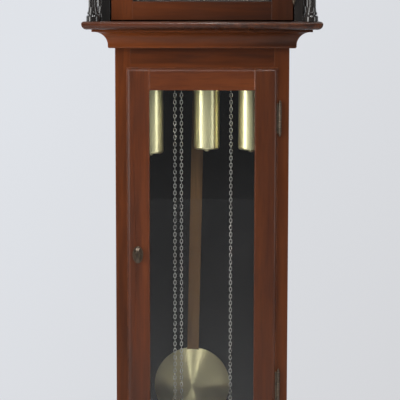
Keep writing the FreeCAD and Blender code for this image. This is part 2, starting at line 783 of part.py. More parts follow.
def finial(x, y, z, height, radius):
    """Turned urn with a stem below and a flame-shaped point above."""
    r = radius
    h = height
    steps = [(0, 0), (r * 0.6, 0), (r * 0.6, h * 0.05), (r * 0.3, h * 0.05), (r * 0.3, h * 0.18),
             (r * 0.5, h * 0.18), (r * 0.5, h * 0.22), (r, h * 0.38), (r * 0.85, h * 0.48),
             (r * 0.3, h * 0.54), (r * 0.3, h * 0.58),
             (r * 0.42, h * 0.66), (tip, h), (0, h)]
    return turned(steps, x, y, z)

# Movement: two plates on a seat board, with depths counted back from the face of the trunk
seat_thickness = 18.0
seat_front = 26.0
seat_back = 112.0
plate_front = 38.0
plate_thickness = 2.5
plate_space = 62.0
plate_half = 126.0
plate_head = 3.0
pillar_radius = 4.0
pillar_inset = 6.0
chain_depth = 75.0
sprocket_rise = 40.0
sprocket_width = 9.0
sprocket_groove = 6.0
sprocket_lip = 3.0
arbor_radius = 2.5
fine_arbor_radius = 1.5
pivot_play = 0.05
chain_radius = 2.2
chain_gap = 0.4
slot_margin = 5.0

# Three weights: sprocket place, sprocket radius and height of the weight's bottom when photographed
strike_x = -84.5
strike_radius = 26.0
strike_weight_drop = 281.7
time_x = -17.5
time_radius = 27.0
time_weight_drop = 272.5
chime_x = 83.0
chime_radius = 21.5
chime_weight_drop = 274.0
weight_radius = 27.5
weight_height = 230.0
weight_wall = 1.2
weight_lip = 4.0
weight_cap = 3.0
weight_stem_radius = 2.5
weight_stem = 26.0
weight_nub_radius = 6.0
weight_nub = 6.0
tail_drop = 1067.0
tail_ring_radius = 6.0
tail_ring_wire = 1.6

# Wheels: teeth, module and depth
centre_teeth = 64
centre_module = 0.7
third_teeth = 60
third_module = 0.65
pinion_teeth = 8
cannon_teeth = 12
minute_teeth = 36
motion_module = 1.0
minute_pinion_teeth = 10
hour_teeth = 40
hour_module = motion_module * (cannon_teeth + minute_teeth) / (minute_pinion_teeth + hour_teeth)
wheel_thickness = 2.0
pinion_length = 6.0
addendum_share = 0.75
dedendum_share = 1.15
tooth_share = 0.42
tip_share = 0.5
root_share = 1.25
escape_teeth = 30
escape_radius = 20.0
escape_root_share = 0.78
escape_lean_share = 0.35
centre_wheel_depth = 50.0
third_wheel_depth = 60.0
escape_wheel_depth = 84.0
cannon_depth = 30.0
hour_wheel_depth = 25.0
escape_rise = 30.4
anchor_rise = 28.3
pallet_gap = 2.0
pallet_thickness = 4.5
pallet_spread = 52.0
pipe_radius = 5.0
pipe_wall = 1.6
minute_hand_depth = 1.0
hour_hand_depth = 6.0
hand_thickness = 1.5
minute_hand_length = 112.0
hour_hand_length = 78.0
hand_hub_radius = 9.0
hour_hand_angle = 305.0
minute_hand_angle = 60.0
ring_outer = 134.0
ring_inner = 92.0
ring_thickness = 1.2

# Pendulum
pendulum_depth = 128.5
pendulum_length = 1039.5
pendulum_tilt = 1.2
stick_width = 25.0
stick_thickness = 6.0
spring_length = 30.0
spring_half_width = 4.0
spring_thickness = 0.4
bob_radius = 82.5
bob_thickness = 26.0
bob_edge = 5.0
rating_radius = 2.5
rating_length = 58.0
rating_nut_radius = 11.0
rating_nut_height = 7.0
cock_half = 8.0
cock_height = 8.0
cock_gap = 2.0
crutch_length = 120.0
crutch_half = 1.9
crutch_thickness = 2.0
crutch_depth = 110.0
fork_play = 0.5
fork_arm = 2.0

# Chime
rod_count = 4
rod_pitch = 15.0
rod_first = 45.0
rod_radius = 1.5
rod_shortest = 170.0
rod_step = 9.0
block_height = 20.0
block_depth = 20.0
hammer_reach = 46.0
hammer_pivot_radius = 2.0
hammer_rise = 30.0
hammer_head_radius = 5.0
hammer_head_length = 12.0
hammer_gap = 2.0
hammer_arm = 3.0
bracket_half = 3.0

seat_bottom = shelf_top + cheek_rise
seat_top = seat_bottom + seat_thickness
chain_y = trunk_y + chain_depth
sprocket_z = seat_top + sprocket_rise
front_plate_y = trunk_y + plate_front
back_plate_y = front_plate_y + plate_thickness + plate_space
back_plate_back_y = back_plate_y + plate_thickness
escape_z = dial_centre_z + escape_rise
anchor_z = escape_z + anchor_rise
pendulum_y = trunk_y + pendulum_depth
plate_height = anchor_z + cock_gap + cock_height + plate_head - seat_top
hammer_pivot_y = back_front_y - block_depth / 2 - hammer_reach
bob_z = anchor_z - pendulum_length
third_distance = centre_module * (centre_teeth + pinion_teeth) / 2
escape_distance = third_module * (third_teeth + pinion_teeth) / 2
third_rise = (third_distance ** 2 - escape_distance ** 2 + escape_rise ** 2) / (2 * escape_rise)
third_x = math.sqrt(third_distance ** 2 - third_rise ** 2)
third_z = dial_centre_z + third_rise
minute_drop = motion_module * (cannon_teeth + minute_teeth) / 2
lines = [("left", "strike", strike_x, strike_radius, -1, strike_weight_drop),
         ("centre", "time", time_x, time_radius, 1, time_weight_drop),
         ("right", "chime", chime_x, chime_radius, 1, chime_weight_drop)]


def gear(teeth, module, x, z, depth, width, phase):
    """Toothed disc with straight-sided teeth; phase is the angle of one tooth, in degrees from +X."""
    pitch_radius = module * teeth / 2
    outer = pitch_radius + module * addendum_share
    root = pitch_radius - module * dedendum_share
    step = 2 * math.pi / teeth
    half = step * tooth_share / 2
    points = []
    for tooth in range(teeth):
        angle = math.radians(phase) + tooth * step
        for radius, side in ((root, -root_share), (outer, -tip_share), (outer, tip_share),
                             (root, root_share)):
            turn = angle + side * half
            points.append((x + radius * math.cos(turn), z + radius * math.sin(turn)))
    return plate_xz(points, trunk_y + depth, trunk_y + depth + width)


def mesh_phase(x0, z0, x1, z1, teeth):
    """Phases of two meshing gears: a tooth of the first meets a gap of the second."""
    way = math.degrees(math.atan2(z1 - z0, x1 - x0))
    return way, way + 180 + 180 / teeth


def shaft(x, z, radius, y0, y1):
    """Arbor between two depths."""
    return rod_y(x, z, radius, trunk_y + y0, trunk_y + y1)


def build_train():
    """Going train and motion work, in mesh."""
    cz = dial_centre_z
    end = plate_front + plate_thickness + plate_space + plate_thickness
    lead, follow = mesh_phase(0, cz, third_x, third_z, pinion_teeth)
    centre = gear(centre_teeth, centre_module, 0, cz, centre_wheel_depth, wheel_thickness, lead)
    pipe_in = pipe_radius - pipe_wall
    cannon_lead, minute_follow = mesh_phase(0, cz, 0, cz - minute_drop, minute_teeth)
    cannon = gear(cannon_teeth, motion_module, 0, cz, cannon_depth, pinion_length, cannon_lead)
    arbor = shaft(0, cz, arbor_radius, minute_hand_depth, end)
    save("centre_arbor", arbor.fuse([centre, cannon]))
    third_arbor = shaft(third_x, third_z, fine_arbor_radius, plate_front, end)
    drop = (pinion_length - wheel_thickness) / 2
    pinion = gear(pinion_teeth, centre_module, third_x, third_z, centre_wheel_depth - drop, pinion_length,
                  follow)
    lead, follow = mesh_phase(third_x, third_z, 0, escape_z, pinion_teeth)
    wheel = gear(third_teeth, third_module, third_x, third_z, third_wheel_depth, wheel_thickness, lead)
    save("third_wheel", third_arbor.fuse([pinion, wheel]))
    pinion = gear(pinion_teeth, third_module, 0, escape_z, third_wheel_depth - drop, pinion_length, follow)
    arbor = shaft(0, escape_z, fine_arbor_radius, plate_front, end)
    save("escape_wheel", arbor.fuse([pinion, escape_gear()]))
    minute_z = cz - minute_drop
    minute = gear(minute_teeth, motion_module, 0, minute_z, cannon_depth + drop, wheel_thickness,
                  minute_follow)
    lead, follow = mesh_phase(0, minute_z, 0, cz, hour_teeth)
    reach = cannon_depth + wheel_thickness + drop - hour_wheel_depth
    pinion = gear(minute_pinion_teeth, hour_module, 0, minute_z, hour_wheel_depth - drop, reach + drop, lead)
    bore = shaft(0, minute_z, fine_arbor_radius + pivot_play, hour_wheel_depth - overrun, plate_front)
    save("minute_wheel", minute.fuse(pinion).cut(bore))
    hour = gear(hour_teeth, hour_module, 0, cz, hour_wheel_depth, wheel_thickness, follow)
    pipe = shaft(0, cz, pipe_radius, hour_hand_depth, hour_wheel_depth + wheel_thickness)
    hole = shaft(0, cz, pipe_in, 0, plate_front)
    save("hour_wheel", pipe.fuse(hour).cut(hole))


def escape_gear():
    """Escape wheel with leaning pointed teeth."""
    points = []
    step = 360 / escape_teeth
    root = escape_radius * escape_root_share
    for tooth in range(escape_teeth):
        for radius, share in ((root, 0), (escape_radius, escape_lean_share),
                              (escape_radius, escape_lean_share * 1.2),
                              (root, escape_lean_share * 1.5)):
            turn = math.radians(step * (tooth + share))
            points.append((radius * math.cos(turn), escape_z + radius * math.sin(turn)))
    y = trunk_y + escape_wheel_depth
    return plate_xz(points, y, y + wheel_thickness)


def tilted(shape):
    """Piece turned with the pendulum to its photographed place in the swing."""
    shape.rotate(V(0, pendulum_y, anchor_z), V(0, 1, 0), pendulum_tilt)
    return shape


def build_anchor():
    """Anchor over the escape wheel, its arbor and the crutch that leads the pendulum."""
    inner = escape_radius + pallet_gap
    outer = inner + pallet_thickness
    centre = (0, escape_z)
    low = quarter_turn - pallet_spread
    high = quarter_turn + pallet_spread
    first = arc_points(centre, outer, low, high)
    start = arc_points(centre, outer, quarter_turn, low)[1]
    turn_in = arc_points(centre, inner, high, high)[1]
    back = arc_points(centre, inner, high, low)
    y0 = trunk_y + escape_wheel_depth - wheel_thickness / 2
    y1 = y0 + 2 * wheel_thickness
    arms = plate_xz([start, first, turn_in, back], y0, y1)
    stem = box(-crutch_half, crutch_half, y0, y1, escape_z + inner + fit_gap, anchor_z)
    arbor = shaft(0, anchor_z, fine_arbor_radius, plate_front, crutch_depth + crutch_thickness)
    low = anchor_z - crutch_length
    high = low + fork_arm * 2
    y0 = trunk_y + crutch_depth
    crutch = box(-crutch_half, crutch_half, y0, y0 + crutch_thickness, low, anchor_z)
    half = stick_width / 2 + fork_play
    wide = half + fork_arm
    bar = box(-wide, wide, y0, y0 + crutch_thickness, low, high)
    prong = box(half, wide, y0, pendulum_y + stick_thickness / 2, low, high)
    save("anchor", tilted(arbor.fuse([arms, stem, crutch, bar] + pair(prong))))


def build_pendulum():
    """Wooden stick and a domed disc bob, with the suspension spring and rating nut."""
    top = anchor_z + cock_gap - fit_gap
    stick_top = anchor_z - spring_length
    bottom = bob_z - bob_radius * 0.7
    half = stick_width / 2
    y0 = pendulum_y - stick_thickness / 2
    y1 = pendulum_y + stick_thickness / 2
    t = spring_thickness / 2
    spring = box(-spring_half_width, spring_half_width, pendulum_y - t, pendulum_y + t, stick_top, top)
    stick = box(-half, half, y0, y1, bottom, stick_top)
    rating = rod_z(0, pendulum_y, rating_radius, bottom - rating_length, bottom)
    nut_z = bob_z - bob_radius - fit_gap - rating_nut_height
    nut = rod_z(0, pendulum_y, rating_nut_radius, nut_z, nut_z + rating_nut_height)
    save("pendulum_stick", tilted(stick))
    e = bob_edge / 2
    dome = bob_thickness / 2
    shoulder = bob_radius * 0.72
    steps = [(0, -dome), (tip, -dome), ((shoulder, -dome * 0.62), (bob_radius, -e)),
             ((bob_radius + fit_gap, 0), (bob_radius, e)), ((shoulder, dome * 0.62), (tip, dome)), (0, dome)]
    bob = turned_y(steps, 0, pendulum_y, bob_z)
    play = fit_gap
    channel = box(-half - play, half + play, y0 - play, pendulum_y + bob_thickness, bottom - play,
                  bob_z + bob_radius + overrun)
    bore = rod_z(0, pendulum_y, rating_radius + play, bottom - rating_length, bottom + overrun)
    save("pendulum_bob", tilted(bob.cut(channel).cut(bore)), tilted(spring), tilted(rating.fuse(nut)))


def build_plates():
    """Movement plates with their pillars and cock, and the brackets of the hammers."""
    y0 = front_plate_y
    y1 = back_plate_y
    top = seat_top + plate_height
    plates = box(-plate_half, plate_half, y0, y0 + plate_thickness, seat_top, top)
    plates = plates.fuse(box(-plate_half, plate_half, y1, back_plate_back_y, seat_top, top))
    x = plate_half - pillar_inset
    for z in (seat_top + pillar_inset, top - pillar_inset):
        plates = plates.fuse(pair(rod_y(x, z, pillar_radius, y0, back_plate_back_y)))
        plates = plates.fuse(pair(rod_y(x, z, pillar_radius / 2, dial_back_y, y0)))
    cock_z = anchor_z + cock_gap
    cock = box(-cock_half, cock_half, y1, pendulum_y + stick_thickness, cock_z, cock_z + cock_height)
    stud = shaft(0, dial_centre_z - minute_drop, fine_arbor_radius, hour_wheel_depth - fit_gap, plate_front)
    plates = plates.fuse([cock, stud])
    for place in (0, dial_centre_z), (third_x, third_z), (0, escape_z), (0, anchor_z):
        radius = arbor_radius if place[1] == dial_centre_z else fine_arbor_radius
        plates = plates.cut(rod_y(place[0], place[1], radius + pivot_play, y0 - overrun,
                                  back_plate_back_y + overrun))
    for side, train, sx, radius, way, drop in lines:
        plates = plates.cut(rod_y(sx, sprocket_z, arbor_radius + pivot_play, y0 - overrun,
                                  back_plate_back_y + overrun))
    bx = rod_first + rod_pitch * rod_count
    pivot_y = hammer_pivot_y
    pivot_z = hammer_pivot_z()
    arm = box(bx - bracket_half, bx + bracket_half, y1, pivot_y + bracket_half, pivot_z - bracket_half,
              pivot_z + bracket_half)
    hole = Part.makeCylinder(hammer_pivot_radius + hinge_play, 2 * bx + 2 * overrun,
                             V(-bx - overrun, pivot_y, pivot_z), V(1, 0, 0))
    plates = plates.fuse([a.cut(hole) for a in pair(arm)])
    save("movement_frame", plates.removeSplitter())


def hammer_pivot_z():
    """Height of the hammers' pivot bar."""
    return rod_block_z() - hammer_rise - hammer_head_radius * 2


def rod_block_z():
    """Underside of the block that the chime rods hang from."""
    return seat_top + plate_height * 0.29


def build_chime():
    """Block and hanging rods on the backboard, and the hammers that strike them."""
    low = rod_block_z()
    bx = rod_first + rod_pitch * rod_count
    block = box(-bx, bx, back_front_y - block_depth, back_front_y, low, low + block_height)
    rods = []
    hammers = []
    rod_y0 = back_front_y - block_depth / 2
    pivot_y = hammer_pivot_y
    pivot_z = hammer_pivot_z()
    head_z = low - hammer_head_radius * 3
    head_y = rod_y0 - rod_radius - hammer_gap
    for rod in range(rod_count):
        x = rod_first + rod_pitch * rod
        length = rod_shortest + rod_step * rod
        rods.append(rod_z(x, rod_y0, rod_radius, low - length, low))
        rods.append(rod_z(-x, rod_y0, rod_radius, low - length - rod_step / 2, low))
        steps = [(pivot_y - hammer_arm, pivot_z), (pivot_y + hammer_arm, pivot_z - hammer_arm),
                 (head_y - hammer_head_length / 2 + hammer_arm / 2, head_z - hammer_arm),
                 (head_y - hammer_head_length / 2 + hammer_arm / 2, head_z),
                 (head_y - hammer_head_length / 2 - hammer_arm / 2, head_z)]
        arm = bar_x(steps, x - hammer_arm / 2, x + hammer_arm / 2)
        head = rod_y(x, head_z, hammer_head_radius, head_y - hammer_head_length, head_y)
        hammers += pair(arm.fuse(head))
    bar = Part.makeCylinder(hammer_pivot_radius, 2 * bx, V(-bx, pivot_y, pivot_z), V(1, 0, 0))
    save("chime_rods", block, *rods)
    save("chime_hammers", bar.fuse(hammers).removeSplitter())


def build_dial():
    """Dial plate with its chapter ring, and the two hands."""
    plate = plate_xz(arch_outline(0, dial_width / 2, dial_bottom, dial_shoulder,
                                  dial_arch_radius - opening_margin),
                     dial_y, dial_back_y)
    hole = rod_y(0, dial_centre_z, pipe_radius + fit_gap, dial_y - overrun, dial_back_y + overrun)
    save("dial_plate", plate.cut(hole))
    ring = rod_y(0, dial_centre_z, ring_outer, dial_y - ring_thickness, dial_y)
    save("chapter_ring", ring.cut(rod_y(0, dial_centre_z, ring_inner, dial_y - overrun, dial_y + overrun)))
    hour_y = trunk_y + hour_hand_depth
    minute_y = trunk_y + minute_hand_depth
    hour = hand(hour_hand_length, hour_y).cut(rod_y(0, dial_centre_z, pipe_radius, hour_y - overrun,
                                                    hour_y + overrun))
    hour.rotate(V(0, 0, dial_centre_z), V(0, 1, 0), hour_hand_angle)
    save("hour_hand", hour)
    minute = hand(minute_hand_length, minute_y - hand_thickness)
    minute.rotate(V(0, 0, dial_centre_z), V(0, 1, 0), minute_hand_angle)
    save("minute_hand", minute)


def hand(length, y):
    """Pierced hand: a hub, a tapering shank, a ring near the point and a tip."""
    z = dial_centre_z
    hub = hand_hub_radius
    waist = hub / 4
    ring_z = z + length * 0.68
    ring_r = hub * 0.95
    shank = plate_xz([(-waist, z), (waist, z), (waist / 2, ring_z), (-waist / 2, ring_z)], y,
                     y + hand_thickness)
    ring = rod_y(0, ring_z, ring_r, y, y + hand_thickness)
    ring = ring.cut(rod_y(0, ring_z, ring_r * 0.6, y - overrun, y + overrun))
    tip = plate_xz([(-waist, ring_z + ring_r * 0.8), (waist, ring_z + ring_r * 0.8), (0, z + length)], y,
                   y + hand_thickness)
    disc = rod_y(0, z, hub, y, y + hand_thickness)
    shank = shank.cut(rod_y(0, ring_z, ring_r * 0.6, y - overrun, y + overrun))
    return disc.fuse([shank, ring, tip]).removeSplitter()


def build_lines():
    """The three chain lines: sprocket, chain, weight and the ring on the chain's tail."""
    slots = box(-trunk_half, trunk_half, trunk_y + seat_front, trunk_y + seat_back, seat_bottom, seat_top)
    for side, train, x, radius, way, drop in lines:
        weight_x = x + way * radius
        tail_x = x - way * radius
        save(train + "_sprocket", sprocket(x, radius))
        bottom = shelf_top - drop
        top = bottom + weight_height + weight_cap + weight_stem
        ring_z = shelf_top - tail_drop
        save("weight_" + side, *weight(weight_x, bottom))
        save("chain_" + side, chain(x, radius, way, top + fit_gap, ring_z + tail_ring_radius + fit_gap))
        save("tail_ring_" + side, tail_ring(tail_x, ring_z))
        low = min(weight_x, tail_x) - slot_margin
        high = max(weight_x, tail_x) + slot_margin
        slots = slots.cut(box(low, high, chain_y - slot_margin, chain_y + slot_margin, seat_bottom - overrun,
                              seat_top + overrun))
    save("seat_board", slots)


def sprocket(x, radius):
    """Chain wheel: a grooved drum between two flanges on its arbor."""
    half = sprocket_width / 2
    groove = sprocket_groove / 2
    floor = radius - chain_radius - chain_gap
    lip = radius + sprocket_lip
    steps = [(0, -half), (lip, -half), (lip, -groove), (floor, -groove), (floor, groove),
             (lip, groove), (lip, half),
             (0, half)]
    wheel = turned_y(steps, x, chain_y, sprocket_z)
    return wheel.fuse(rod_y(x, sprocket_z, arbor_radius, front_plate_y, back_plate_back_y))


def chain(x, radius, way, weight_end, tail_end):
    """Chain as a plain bar: up from the weight, over the wheel and down to its tail."""
    a = V(x + way * radius, chain_y, weight_end)
    b = V(x + way * radius, chain_y, sprocket_z)
    c = V(x, chain_y, sprocket_z + radius)
    d = V(x - way * radius, chain_y, sprocket_z)
    e = V(x - way * radius, chain_y, tail_end)
    path = Part.Wire([Part.LineSegment(a, b).toShape(), Part.Arc(b, c, d).toShape(),
                      Part.LineSegment(d, e).toShape()])
    section = Part.Wire([Part.Circle(a, V(0, 0, 1), chain_radius).toShape()])
    return path.makePipeShell([section], True, False)


def weight(x, bottom):
    """Weight: a thin shell with rounded ends over a heavy slug, with a stem above and a nub below."""
    r = weight_radius
    lip = weight_lip
    h = weight_height
    bend = lip * (1 - math.sqrt(0.5))
    steps = [(0, 0), (r - lip, 0), (r - bend, bend), (r, lip), (r, h - lip), (r - bend, h - bend),
             (r - lip, h),
             (0, h)]
    inside = [(0, weight_wall), (r - lip, weight_wall), (r - weight_wall, lip), (r - weight_wall, h - lip),
              (r - lip, h - weight_wall), (0, h - weight_wall)]
    shell = turned(steps, x, chain_y, bottom).cut(turned(inside, x, chain_y, bottom))
    slug = turned(inside, x, chain_y, bottom)
    nub = turned([(0, 0), (weight_nub_radius, 0), ((weight_nub_radius * 0.8, -weight_nub * 0.7),
                                                   (tip, -weight_nub)),
                  (0, -weight_nub)],
                 x, chain_y, bottom)
    s = weight_stem_radius
    cap = [(0, 0), (r * 0.4, 0), (r * 0.4, weight_cap), (s, weight_cap), (s, weight_cap + weight_stem),
           (0, weight_cap + weight_stem)]
    stem = turned(cap, x, chain_y, bottom + h)
    return [shell, slug, nub, stem]


def tail_ring(x, z):
    """Pull ring on the end of a chain's tail."""
    wire = tail_ring_wire
    middle = tail_ring_radius - wire
    half = wire / 2
    steps = [(middle - wire, -half), (middle, -wire), (middle + wire, -half), (middle + wire, half),
             (middle, wire),
             (middle - wire, half)]
    return turned_y(steps, x, chain_y, z)


def build_case_hinges():
    """Fixed halves of all four hinges, with their pins."""
    save("case_hinge_leaves", *(trunk_hinge_pair()[0] + hood_hinge_pair()[0]))


def main():
    """Build every piece of the clock."""
    os.makedirs("parts", exist_ok=True)
    build_case()
    build_trunk_door()
    build_hood_door()
    build_hood()
    build_case_hinges()
    build_plates()
    build_train()
    build_anchor()
    build_pendulum()
    build_chime()
    build_dial()
    build_lines()


main()
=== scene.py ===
"""Looks of the tall case clock: its finishes, the chains link by link, and the dial's figures."""
import json
import math

import bpy
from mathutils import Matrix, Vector


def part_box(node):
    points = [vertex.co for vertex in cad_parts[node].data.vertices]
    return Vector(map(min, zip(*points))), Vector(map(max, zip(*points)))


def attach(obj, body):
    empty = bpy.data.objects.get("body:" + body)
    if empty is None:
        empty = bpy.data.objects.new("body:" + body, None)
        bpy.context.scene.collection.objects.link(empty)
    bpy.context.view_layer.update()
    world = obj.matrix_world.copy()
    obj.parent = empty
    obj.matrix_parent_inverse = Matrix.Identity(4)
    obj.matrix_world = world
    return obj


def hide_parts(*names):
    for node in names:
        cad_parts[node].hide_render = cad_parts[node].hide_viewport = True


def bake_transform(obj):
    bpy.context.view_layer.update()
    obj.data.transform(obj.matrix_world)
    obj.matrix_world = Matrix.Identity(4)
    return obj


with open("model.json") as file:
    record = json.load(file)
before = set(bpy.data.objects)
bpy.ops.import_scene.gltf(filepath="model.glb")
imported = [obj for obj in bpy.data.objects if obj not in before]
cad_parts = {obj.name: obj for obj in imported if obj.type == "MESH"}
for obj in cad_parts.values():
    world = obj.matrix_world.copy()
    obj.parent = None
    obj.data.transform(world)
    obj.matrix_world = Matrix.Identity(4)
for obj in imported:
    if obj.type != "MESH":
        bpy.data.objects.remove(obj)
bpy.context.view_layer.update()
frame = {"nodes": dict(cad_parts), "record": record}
nodes = frame["nodes"]
MM = 0.001
TURN = 2 * math.pi


# Places read from the frame

def joint(name):
    """One joint of the record, by name."""
    return next(j for j in frame["record"]["behaviour"]["joints"] if j["name"] == name)


face_low, face_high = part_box("trunk_face_frame")
back_face_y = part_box("backboard")[1][1]
dial_low, dial_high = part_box("dial_plate")
chapter_low, chapter_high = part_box("chapter_ring")
trunk_face_y = face_low[1]
dial_x = 0.0
dial_z = joint("minute_arbor_turn")["pos_m"][2]
pivot = joint("pendulum_swing")["pos_m"]


# Shader building: an input takes a value or a (node, output) pair

BEVEL_SAMPLES = 4


def feed(tree, value, made, into):
    """Links an input to a (node, output) pair, or gives it a value."""
    if isinstance(value, tuple) and isinstance(value[0], bpy.types.Node):
        tree.links.new(value[0].outputs[value[1]], made.inputs[into])
    else:
        made.inputs[into].default_value = value


def give(tree, made, **inputs):
    """Feeds a node's inputs by name; an underscore stands for a space."""
    for name, value in inputs.items():
        feed(tree, value, made, name.replace("_", " "))
    return made


def shader_node(tree, kind, **inputs):
    """Adds a node and feeds its inputs."""
    return give(tree, tree.nodes.new("ShaderNode" + kind), **inputs)


def new_group(name, inputs, outputs):
    """Empty node group with named sockets: an input is a name, a kind and its default."""
    tree = bpy.data.node_groups.new(name, "ShaderNodeTree")
    for label, kind, start in inputs:
        socket = tree.interface.new_socket(name=label, in_out="INPUT", socket_type="NodeSocket" + kind)
        if start is not None:
            socket.default_value = start
    for label, kind in outputs:
        tree.interface.new_socket(name=label, in_out="OUTPUT", socket_type="NodeSocket" + kind)
    return tree, tree.nodes.new("NodeGroupInput"), tree.nodes.new("NodeGroupOutput")


def placed_group(tree, group, **inputs):
    """A shared group placed in a material with its own values."""
    made = tree.nodes.new("ShaderNodeGroup")
    made.node_tree = group
    return give(tree, made, **inputs)


def maths(tree, operation, *operands, clamp=False):
    """Result of a math node."""
    made = tree.nodes.new("ShaderNodeMath")
    made.operation = operation
    made.use_clamp = clamp
    for place, value in enumerate(operands):
        feed(tree, value, made, place)
    return made, 0


def vector_maths(tree, operation, *operands, out="Vector"):
    """Result of a vector math node; a length or a dot product is its Value."""
    made = tree.nodes.new("ShaderNodeVectorMath")
    made.operation = operation
    for place, value in enumerate(operands):
        feed(tree, value, made, place)
    return made, out


def split_axes(tree, source):
    """Node that gives a vector's X, Y and Z."""
    return shader_node(tree, "SeparateXYZ", Vector=source)


def noise(tree, place, scale, detail, roughness, distortion=0.0):
    """Noise at a place."""
    made = shader_node(tree, "TexNoise", Vector=place, Scale=scale, Detail=detail,
                       Roughness=roughness, Distortion=distortion)
    return made, "Fac"


def ramp(tree, source, stops, linear=True):
    """Colour ramp; its stops are places with colours or greys."""
    made = tree.nodes.new("ShaderNodeValToRGB")
    made.color_ramp.interpolation = "LINEAR" if linear else "EASE"
    while len(made.color_ramp.elements) < len(stops):
        made.color_ramp.elements.new(0.5)
    for element, (place, colour) in zip(made.color_ramp.elements, stops):
        element.position = place
        grey = isinstance(colour, (int, float))
        element.color = (colour, colour, colour, 1) if grey else (*colour, 1)
    feed(tree, source, made, "Fac")
    return made, "Color"


def blend_colour(tree, amount, first, second, kind="MIX"):
    """Mix of two colours, each three numbers or a (node, output) pair."""
    made = tree.nodes.new("ShaderNodeMix")
    made.data_type = "RGBA"
    made.blend_type = kind
    feed(tree, amount, made, 0)
    for place, value in ((6, first), (7, second)):
        feed(tree, (*value, 1) if len(value) == 3 else value, made, place)
    return made, 2


def mix_shaders(tree, amount, first, second):
    """Mix of two shaders."""
    made = tree.nodes.new("ShaderNodeMixShader")
    for place, value in enumerate((amount, first, second)):
        feed(tree, value, made, place)
    return made, 0


def bevelled(tree, radius):
    """Normal over edges softened by a small bevel."""
    made = shader_node(tree, "Bevel", Radius=radius)
    made.samples = BEVEL_SAMPLES
    return made, 0


# Effects that materials share

NO_MITRE = 9.0
GRAIN_STRETCH = (1, 1, 0.07)
CLOUD_SCALE = 7.0
BAND_SCALE = 70.0
FIBRE_SCALE = 260.0
BAND_SHARE = 0.35
CLOUD_SHARE = 0.65
# How fast the painted fade of light goes from the paler left to the darker right.
PAINTED_FADE_ACROSS = 2.9


def grain_group():
    """Wood grain up the stiles and along the rails, and a painted shade: a darker right side, a fade from
    a paler left to a darker right, and a set tone on the returned sides.
    """
    inputs = [("Place", "Vector", None), ("Rail Half Width", "Float", 0.0), ("Right Tone", "Float", 1.0),
              ("Fade", "Float", 0.0), ("Mitre", "Float", NO_MITRE), ("Side Tone", "Float", 1.0),
              ("Fineness", "Float", 1.0)]
    outputs = [("Figure", "Float"), ("Pores", "Float"), ("Height", "Float"), ("Tone", "Float")]
    tree, given, result = new_group("wood_grain", inputs, outputs)
    split = split_axes(tree, (given, "Place"))
    side = maths(tree, "ABSOLUTE", (split, "X"))
    rail = maths(tree, "LESS_THAN", side, (given, "Rail Half Width"))
    turned = shader_node(tree, "CombineXYZ", X=(split, "Z"), Y=(split, "Y"), Z=(split, "X"))
    along = tree.nodes.new("ShaderNodeMix")
    along.data_type = "VECTOR"
    for place, value in ((0, rail), (4, (given, "Place")), (5, (turned, 0))):
        feed(tree, value, along, place)
    size = vector_maths(tree, "SCALE", (along, 1))
    feed(tree, (given, "Fineness"), size[0], "Scale")
    stretched = vector_maths(tree, "MULTIPLY", size, GRAIN_STRETCH)
    cloud = noise(tree, stretched, CLOUD_SCALE, 2.0, 0.5)
    bands = noise(tree, stretched, BAND_SCALE, 3.0, 0.6, 0.4)
    fibre = noise(tree, stretched, FIBRE_SCALE, 5.0, 0.62)
    bands = maths(tree, "MULTIPLY", bands, BAND_SHARE)
    cloud = maths(tree, "MULTIPLY", cloud, CLOUD_SHARE)
    # Painted shade: the right side is darkened, a fade makes the left paler and the right darker, and the
    # returned sides take their own set tone.
    right = maths(tree, "GREATER_THAN", (split, "X"), (given, "Rail Half Width"))
    painted_right_darkening = maths(tree, "SUBTRACT", 1.0, (given, "Right Tone"))
    painted_right_darkening = maths(tree, "MULTIPLY", painted_right_darkening, right)
    across = maths(tree, "MULTIPLY", (split, "X"), PAINTED_FADE_ACROSS)
    across = maths(tree, "ADD", across, 0.5, clamp=True)
    across = maths(tree, "MULTIPLY", across, 2.0)
    across = maths(tree, "SUBTRACT", 1.0, across)
    across = maths(tree, "MULTIPLY", across, (given, "Fade"))
    across = maths(tree, "ADD", across, 1.0)
    after_right_shade = maths(tree, "SUBTRACT", 1.0, painted_right_darkening)
    tone = maths(tree, "MULTIPLY", across, after_right_shade)
    corner = maths(tree, "ADD", side, (split, "Y"))
    returned = maths(tree, "GREATER_THAN", corner, (given, "Mitre"))
    painted_side_change = maths(tree, "SUBTRACT", (given, "Side Tone"), tone)
    painted_side_change = maths(tree, "MULTIPLY", painted_side_change, returned)
    give(tree, result, Figure=maths(tree, "ADD", bands, cloud, clamp=True),
         Pores=ramp(tree, fibre, [(0.34, 0.0), (0.5, 1.0)]), Height=fibre,
         Tone=maths(tree, "ADD", tone, painted_side_change))
    return tree


def wear_group():
    """Mask of the outer edges that hands and dusters rub, broken up by a noise; on the wood it also places
    a painted highlight.
    """
    tree, given, result = new_group("edge_wear", [("Radius", "Float", 2 * MM), ("Breakup", "Float", 60.0)],
                                    [("Mask", "Float")])
    surface = tree.nodes.new("ShaderNodeNewGeometry")
    turned = vector_maths(tree, "DOT_PRODUCT", bevelled(tree, (given, "Radius")), (surface, "Normal"),
                          out="Value")
    edge = ramp(tree, turned, [(0.80, 1.0), (0.985, 0.0)])
    place = tree.nodes.new("ShaderNodeTexCoord")
    broken = noise(tree, (place, "Object"), (given, "Breakup"), 4.0, 0.6)
    patch = ramp(tree, broken, [(0.38, 0.15), (0.62, 1.0)])
    give(tree, result, Mask=maths(tree, "MULTIPLY", edge, patch, clamp=True))
    return tree


